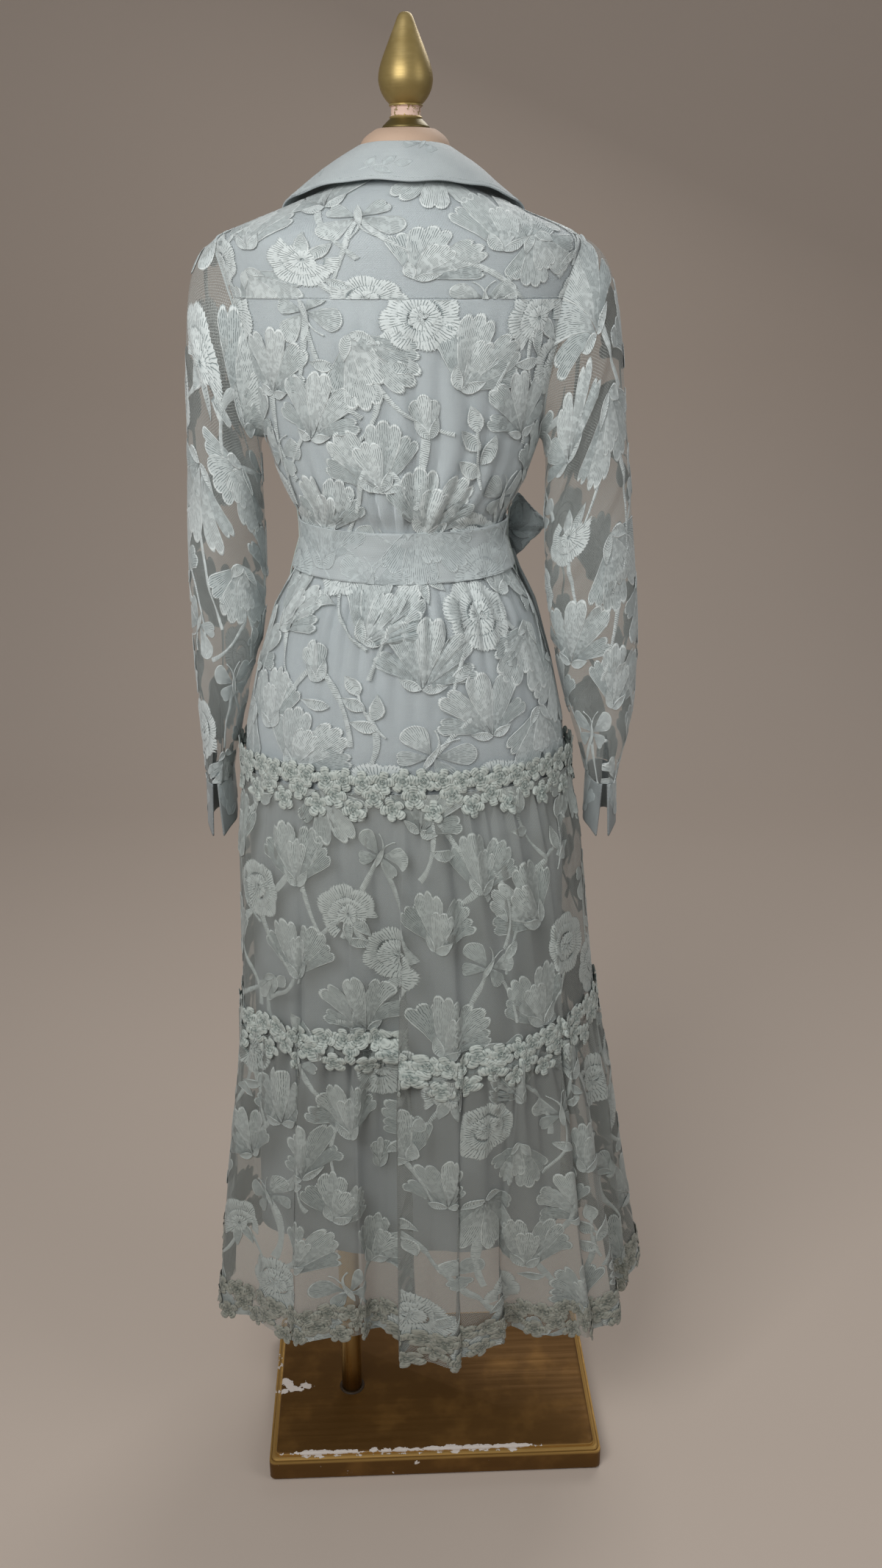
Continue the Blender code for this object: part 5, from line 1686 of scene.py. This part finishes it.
def draw_trim_flower(drawing, size=0.0142, curl=0.03):
    """Five rounded petals, each with a raised rim and tongue, round a knotted middle."""
    for petal in range(5):
        middle = tau * petal / 5

        def place(across, along):
            half = 0.42 * size * sin(pi * (0.05 + 0.7 * along)) ** 0.8
            reach = 0.06 * size + 0.94 * size * along * (1.0 - 0.14 * across ** 2)
            raised = float(np.interp(abs(across), (0.0, 0.35, 0.72, 1.0), (0.75, 0.4, 1.0, 0.0)))
            if along == 1.0:
                raised = 0.15
            lift = 0.0012 * raised + curl * size * along ** 2
            side = across * half
            # painted shade: the tone drops sharply along each petal's sides and at its base
            return ((reach * sin(middle) + side * cos(middle),
                     reach * cos(middle) - side * sin(middle), lift),
                    (along * 4.2, 0.8 if 0.5 < abs(across) < 0.9 or along == 0.88 else 0.0,
                     0.3 * sin(petal * 2.0) - (2.8 if abs(across) > 0.9 or along == 0.0 else 0.0)))
        add_patch(drawing, (-1.0, -0.72, 0.0, 0.72, 1.0), (0.0, 0.5, 0.88, 1.0), place)
    add_ring(drawing, 0.0001, 0.002, 3, 0, 0.0012, 1.0)


TRIM_FLOWER = stamp(draw_trim_flower)
TRIM_FLOWER_CURLED = stamp(draw_trim_flower, 0.0142, 0.16)


def draw_trim(width, height, seed):
    """A row of flowers, and under it a row that zigzags down and hangs free."""
    chance = random.Random(seed)
    drawing = new_drawing()
    count = 2 * round(width / 0.046)
    step = width / count
    for index in range(count):
        for aside, down in ((0.0, 0.22), (0.5, 0.44 if index % 2 else 0.64)):
            place = (-width / 2 + (index + aside) * step + chance.uniform(-0.0014, 0.0014),
                     -height * down + chance.uniform(-0.0018, 0.0018))
            flower = TRIM_FLOWER_CURLED if chance.random() < 0.25 else TRIM_FLOWER
            set_down(drawing, flower, place, chance.uniform(0.0, tau),
                     chance.uniform(0.98, 1.12))
    return drawing


def hip_trim_folds(turn, depth):
    return middle_folds(turn, np.maximum(depth, 0.0)) * capped(depth / 0.015)


def make_trim(name, node, seed, folds_of, start, out, thread=trim_thread):
    """A trim laid over the lace at the height of the model's band."""
    low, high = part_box(node)
    points = tier_points(high[2] + 0.01, low[2] - 0.01, 13, 480, folds_of, out, start)
    panel = Panel(points, ring=True, gathered=True)
    drawing = draw_trim(panel.widths.mean(), panel.length, seed)
    lay_on(name, drawing, panel, thread, 0.0, nodes=[node])


make_trim("hip_flower_trim", "trim_hip", 5, hip_trim_folds, HIP_SEAM + 0.006, 0.0016)
make_trim("knee_flower_trim", "trim_knee", 6, middle_folds, HIP_SEAM + 0.006, 0.0022)
make_trim("hem_flower_trim", "trim_hem", 7, bottom_folds, KNEE_SEAM + 0.004, 0.0008, shaded_hem_thread)


# Belt and bow: a sash of lined lace round the waist, held by two thread loops and tied in a
# bow at the wearer's right, with two loops and two tails.
BELT_TOP = 1.272
BELT_BOTTOM = 1.218
BELT_DROOP = 0.005
BELT_OUT = 0.004


def belt_lace(height, angle):
    droop = BELT_DROOP * (1.0 + np.cos(angle)) / 2
    share = (BELT_TOP - height) / (BELT_TOP - BELT_BOTTOM)
    creases = 0.00035 * np.sin(share * 9.0 + 1.5 * np.sin(angle * 3.0) + angle * 2.5)
    creases += 0.00022 * np.sin(share * 19.0 - 2.0 * np.sin(angle * 4.0 + 1.0))
    creases += 0.0003 * np.sin(angle * 23.0 + share * 4.0)
    edges = capped(np.minimum(share, 1 - share) / 0.12)
    return moved_out(bare_body, height - droop, angle, BELT_OUT + 0.0008 + creases * edges)


belt_points = sheet_points(np.linspace(BELT_TOP, BELT_BOTTOM, 22), (-pi, pi), 260, belt_lace)
belt = Panel(belt_points, ring=True)
belt_drawing = draw_garden(belt.widths.mean(), belt.length, 61, (0.11, 0.046))
for crossing in range(24):
    at, lean = belt.widths.mean() * (crossing / 24 - 0.49), 0.03 * (-1) ** crossing
    add_stem(belt_drawing, (at - lean, -0.001), (at + lean, 0.001 - belt.length), 0.04, 0.0034)
lined_sheet("belt", belt_points, lined_lace, belt_drawing, (0.002, 0.002, 0.45),
            ring=True)


def make_belt_loop(side, turn):
    """A loop of corded thread over the belt at a side seam."""
    path = np.array(((BELT_TOP + 0.011, 0.0036), (BELT_TOP + 0.004, 0.0058),
                     (BELT_TOP - 0.01, 0.0072), (WAIST, 0.0074), (BELT_BOTTOM + 0.006, 0.0072),
                     (BELT_BOTTOM - 0.008, 0.0058), (BELT_BOTTOM - 0.015, 0.0036)))
    points = moved_out(bare_body, path[:, 0], np.full(len(path), radians(turn)), path[:, 1])
    roped(f"belt_loop_{side}_thread", points, 0.0009, trim_thread,
          [f"belt_loop_{side}"])


make_belt_loop("left", -90.0)
make_belt_loop("right", 90.0)

BOW_ANGLE = radians(122.0)
KNOT_SIZE = (0.022, 0.018, 0.034)
KNOT_SQUARENESS = 3.2
knot_middle = box_of("belt_knot")[2]
waist_pair = moved_out(bare_body, np.full(2, WAIST), np.full(2, BOW_ANGLE), np.array((0.0, 1.0)))
knot_out = Vector(waist_pair[1] - waist_pair[0])
knot_out.z = 0.0
knot_out.normalize()
knot_along = knot_out.cross(Vector((0, 0, 1)))


def make_knot():
    """The knot: cloth wrapped round itself, with folds that run across it."""
    knot = bmesh.new()
    bmesh.ops.create_uvsphere(knot, u_segments=40, v_segments=28, radius=0.5)
    for corner in knot.verts:
        x, y, z = corner.co * 2.0
        square = sum(abs(part) ** KNOT_SQUARENESS for part in (x, y, z)) ** (-1 / KNOT_SQUARENESS)
        fold = 1.0 + 0.05 * sin(13.0 * z + 3.0 * x) * (1 - z * z)
        pinch = 1.0 - 0.16 * (1.0 - abs(z)) ** 2
        corner.co = Vector((x * square * fold * pinch, y * square * fold, z * square)) * 0.5
    axes = Matrix((knot_along, knot_out, Vector((0, 0, 1)))).transposed().to_4x4()
    knot.transform(Matrix.Translation(knot_middle) @ axes @ Matrix.Diagonal((*KNOT_SIZE, 1.0)))
    mesh_uv = knot.loops.layers.uv.new("cloth")
    for face in knot.faces:
        for loop in face.loops:
            offset = loop.vert.co - knot_middle
            loop[mesh_uv].uv = (offset.dot(knot_along) + offset.dot(knot_out), offset.z)
    put_in("belt_knot_cloth", knot, lined_lace, ["belt_knot"], 60.0)


make_knot()
BOW_LOOPS = (
    # name, turn from the belt's line, length, half breadth, half height, knot's reach
    ("bow_loop_side", 58.0, 0.039, 0.012, 0.036, 0.0096),
    ("bow_loop_front", 165.0, 0.058, 0.013, 0.031, 0.011),
)
GRIP_HALF_BREADTH = 0.0022
GRIP_HALF_HEIGHT = 0.012
# The bow's loops and tails are a darker copy of the lined lace: painted shade.
shaded_bow_cloth = make_lined_lace("shaded_bow_cloth", 0.6, 0.8)


def bow_loop_points(turn, length, half_breadth, half_height, knot_reach):
    """A loop of the bow: out from the knot and back, pleated where the knot grips it."""
    heading = radians(turn)
    ahead = np.array(knot_along * cos(heading) + knot_out * sin(heading))
    sideways = np.cross((0.0, 0.0, 1.0), ahead)
    start = np.array(knot_middle) + ahead * (knot_reach + 0.0016)
    level, share = np.meshgrid(np.linspace(1, -1, 30), np.linspace(0, 1, 60), indexing="ij")
    reach = length * np.sin(pi * share) * (1.1 - 0.72 * np.abs(level - 0.12) ** 1.7)
    breadth = half_breadth * np.sin(tau * share) - GRIP_HALF_BREADTH * np.cos(pi * share)
    swell = np.sin(0.9 * pi * np.sin(pi * share))
    height = level * (GRIP_HALF_HEIGHT + (half_height - GRIP_HALF_HEIGHT) * swell)
    pleats = 0.003 * np.sin(level * 8.0 + 0.6) * (1.0 - 0.55 * np.sin(pi * share))
    breadth = breadth + pleats + 0.0014 * np.sin(level * 17.0 + 3.0 * share)
    return (start + ahead * reach[..., None] - sideways * breadth[..., None]
            + np.array((0.0, 0.0, 1.0)) * height[..., None])


for name, *sizes in BOW_LOOPS:
    flowers = row_of_flowers((LILY, BUTTERFLY, TULIP), -0.045, 0.032, -0.05, 0.5, -0.6)
    lined_sheet(name, bow_loop_points(*sizes), shaded_bow_cloth, flowers, (0.0011, 0.0007, 0.4),
                offset=0.0)

BOW_TAILS = (
    # name, angle at the knot, angle at its end, height of its end
    ("bow_tail_long", 115.0, 119.0, 0.89),
    ("bow_tail_short", 130.0, 137.0, 0.955),
)
TAIL_OUT = 0.0178
TAIL_HALF_DEGREES = 6.5


def tail_points(start_angle, end_angle, end_height):
    """A tail that falls from under the knot down the hip and the tier below."""
    first = WAIST - KNOT_SIZE[2] / 2 - 0.0035
    height, level = np.meshgrid(np.linspace(first, end_height, 90), np.linspace(-1, 1, 17),
                                indexing="ij")
    share = (first - height) / (first - end_height)
    width = TAIL_HALF_DEGREES * (0.72 + 0.28 * capped(share / 0.1))
    angle = np.radians(start_angle + (end_angle - start_angle) * share + level * width)
    fold = 0.0022 * np.sin(level * 4.0 + 5.0 * share) + 0.0012 * np.sin(level * 9.0 - 3.0 * share)
    on_body = moved_out(bare_body, np.maximum(height, HIP_SEAM - 0.02), angle, TAIL_OUT + fold)
    below = capped((HIP_SEAM - height) / 0.06)
    on_body[..., 2] = height
    outward = np.stack((np.sin(angle), -np.cos(angle), 0.0 * angle), -1)
    return on_body + outward * (0.001 + 0.012 * below)[..., None]


for name, *sizes in BOW_TAILS:
    points = tail_points(*sizes)
    tail = Panel(points)
    flowers = draw_garden(tail.widths.max(), tail.length, 71, (0.06, 0.052))
    lined_sheet(name, points, shaded_bow_cloth, flowers, (0.0011, 0.0012, 0.4))


# Room: a plain pale floor that sweeps up behind the stand, soft lamps above and at one side,
# and the camera at the height of the shoulders, looking down at the dress.
FLOOR_COLOUR = (0.58, 0.495, 0.425, 1.0)
FLOOR_REACH = 6.0
SWEEP_START = 2.2
SWEEP_RADIUS = 1.2
LAMP_COLOUR = (1.0, 0.985, 0.965)
CAMERA_TILT = 21.4


def make_room():
    sweep = bmesh.new()
    profile = [(-FLOOR_REACH, 0.0), (SWEEP_START, 0.0)]
    profile += [(SWEEP_START + SWEEP_RADIUS * sin(turn), SWEEP_RADIUS - SWEEP_RADIUS * cos(turn))
                for turn in (radians(7.5 * step) for step in range(1, 13))]
    profile += [(SWEEP_START + SWEEP_RADIUS, FLOOR_REACH)]
    points = [sweep.verts.new((-FLOOR_REACH, y, z)) for y, z in profile]
    edges = [sweep.edges.new(pair) for pair in zip(points, points[1:])]
    run = bmesh.ops.extrude_edge_only(sweep, edges=edges)["geom"]
    far = [part for part in run if isinstance(part, bmesh.types.BMVert)]
    bmesh.ops.translate(sweep, vec=(2 * FLOOR_REACH, 0.0, 0.0), verts=far)
    bmesh.ops.recalc_face_normals(sweep, faces=sweep.faces[:])
    mesh = bpy.data.meshes.new("floor")
    sweep.to_mesh(mesh)
    sweep.free()
    mesh.shade_smooth()
    material, tree = new_material("plain_pale_floor")
    darker = tuple(0.97 * part for part in FLOOR_COLOUR)
    connect(tree.nodes["Principled BSDF"], {
        "Base Color": mixed(noise(on_object(tree), 1.5, 2.0), FLOOR_COLOUR, darker),
        "Roughness": 0.85})
    mesh.materials.append(material)
    floor = bpy.data.objects.new("floor", mesh)
    bpy.context.scene.collection.objects.link(floor)


def add_lamp(name, place, aim, size, power):
    lamp = bpy.data.lights.new(name, "AREA")
    lamp.shape = "RECTANGLE"
    lamp.size, lamp.size_y = size
    lamp.energy = power
    lamp.color = LAMP_COLOUR
    holder = bpy.data.objects.new(name, lamp)
    holder.location = place
    holder.rotation_euler = (Vector(aim) - Vector(place)).to_track_quat("-Z", "Y").to_euler()
    bpy.context.scene.collection.objects.link(holder)


make_room()
add_lamp("lamp_above_back", (-0.65, -1.45, 2.2), (0.0, 0.0, 1.4), (1.2, 1.0), 29.0)
add_lamp("lamp_above_front", (0.9, 2.0, 3.1), (0.0, 0.0, 1.0), (1.8, 1.4), 30.0)
add_lamp("lamp_side", (2.2, -1.2, 2.3), (0.0, 0.0, 1.3), (1.2, 1.6), 12.0)
world = bpy.data.worlds.new("soft_room")
world.use_nodes = True
world.node_tree.nodes["Background"].inputs["Color"].default_value = (0.95, 0.96, 1.0, 1.0)
world.node_tree.nodes["Background"].inputs["Strength"].default_value = 0.2
bpy.context.scene.world = world
bpy.context.scene.view_settings.view_transform = "Standard"

camera_data = bpy.data.cameras.new("camera")
camera_data.sensor_fit = "VERTICAL"
camera_data.sensor_height = 36.0
camera_data.lens = 31.0065604
camera = bpy.data.objects.new("camera", camera_data)
camera.location = (0.041, -1.475, 1.533)
camera.rotation_euler = (radians(90.0 - CAMERA_TILT), 0.0, 0.0)
bpy.context.scene.collection.objects.link(camera)
bpy.context.scene.camera = camera
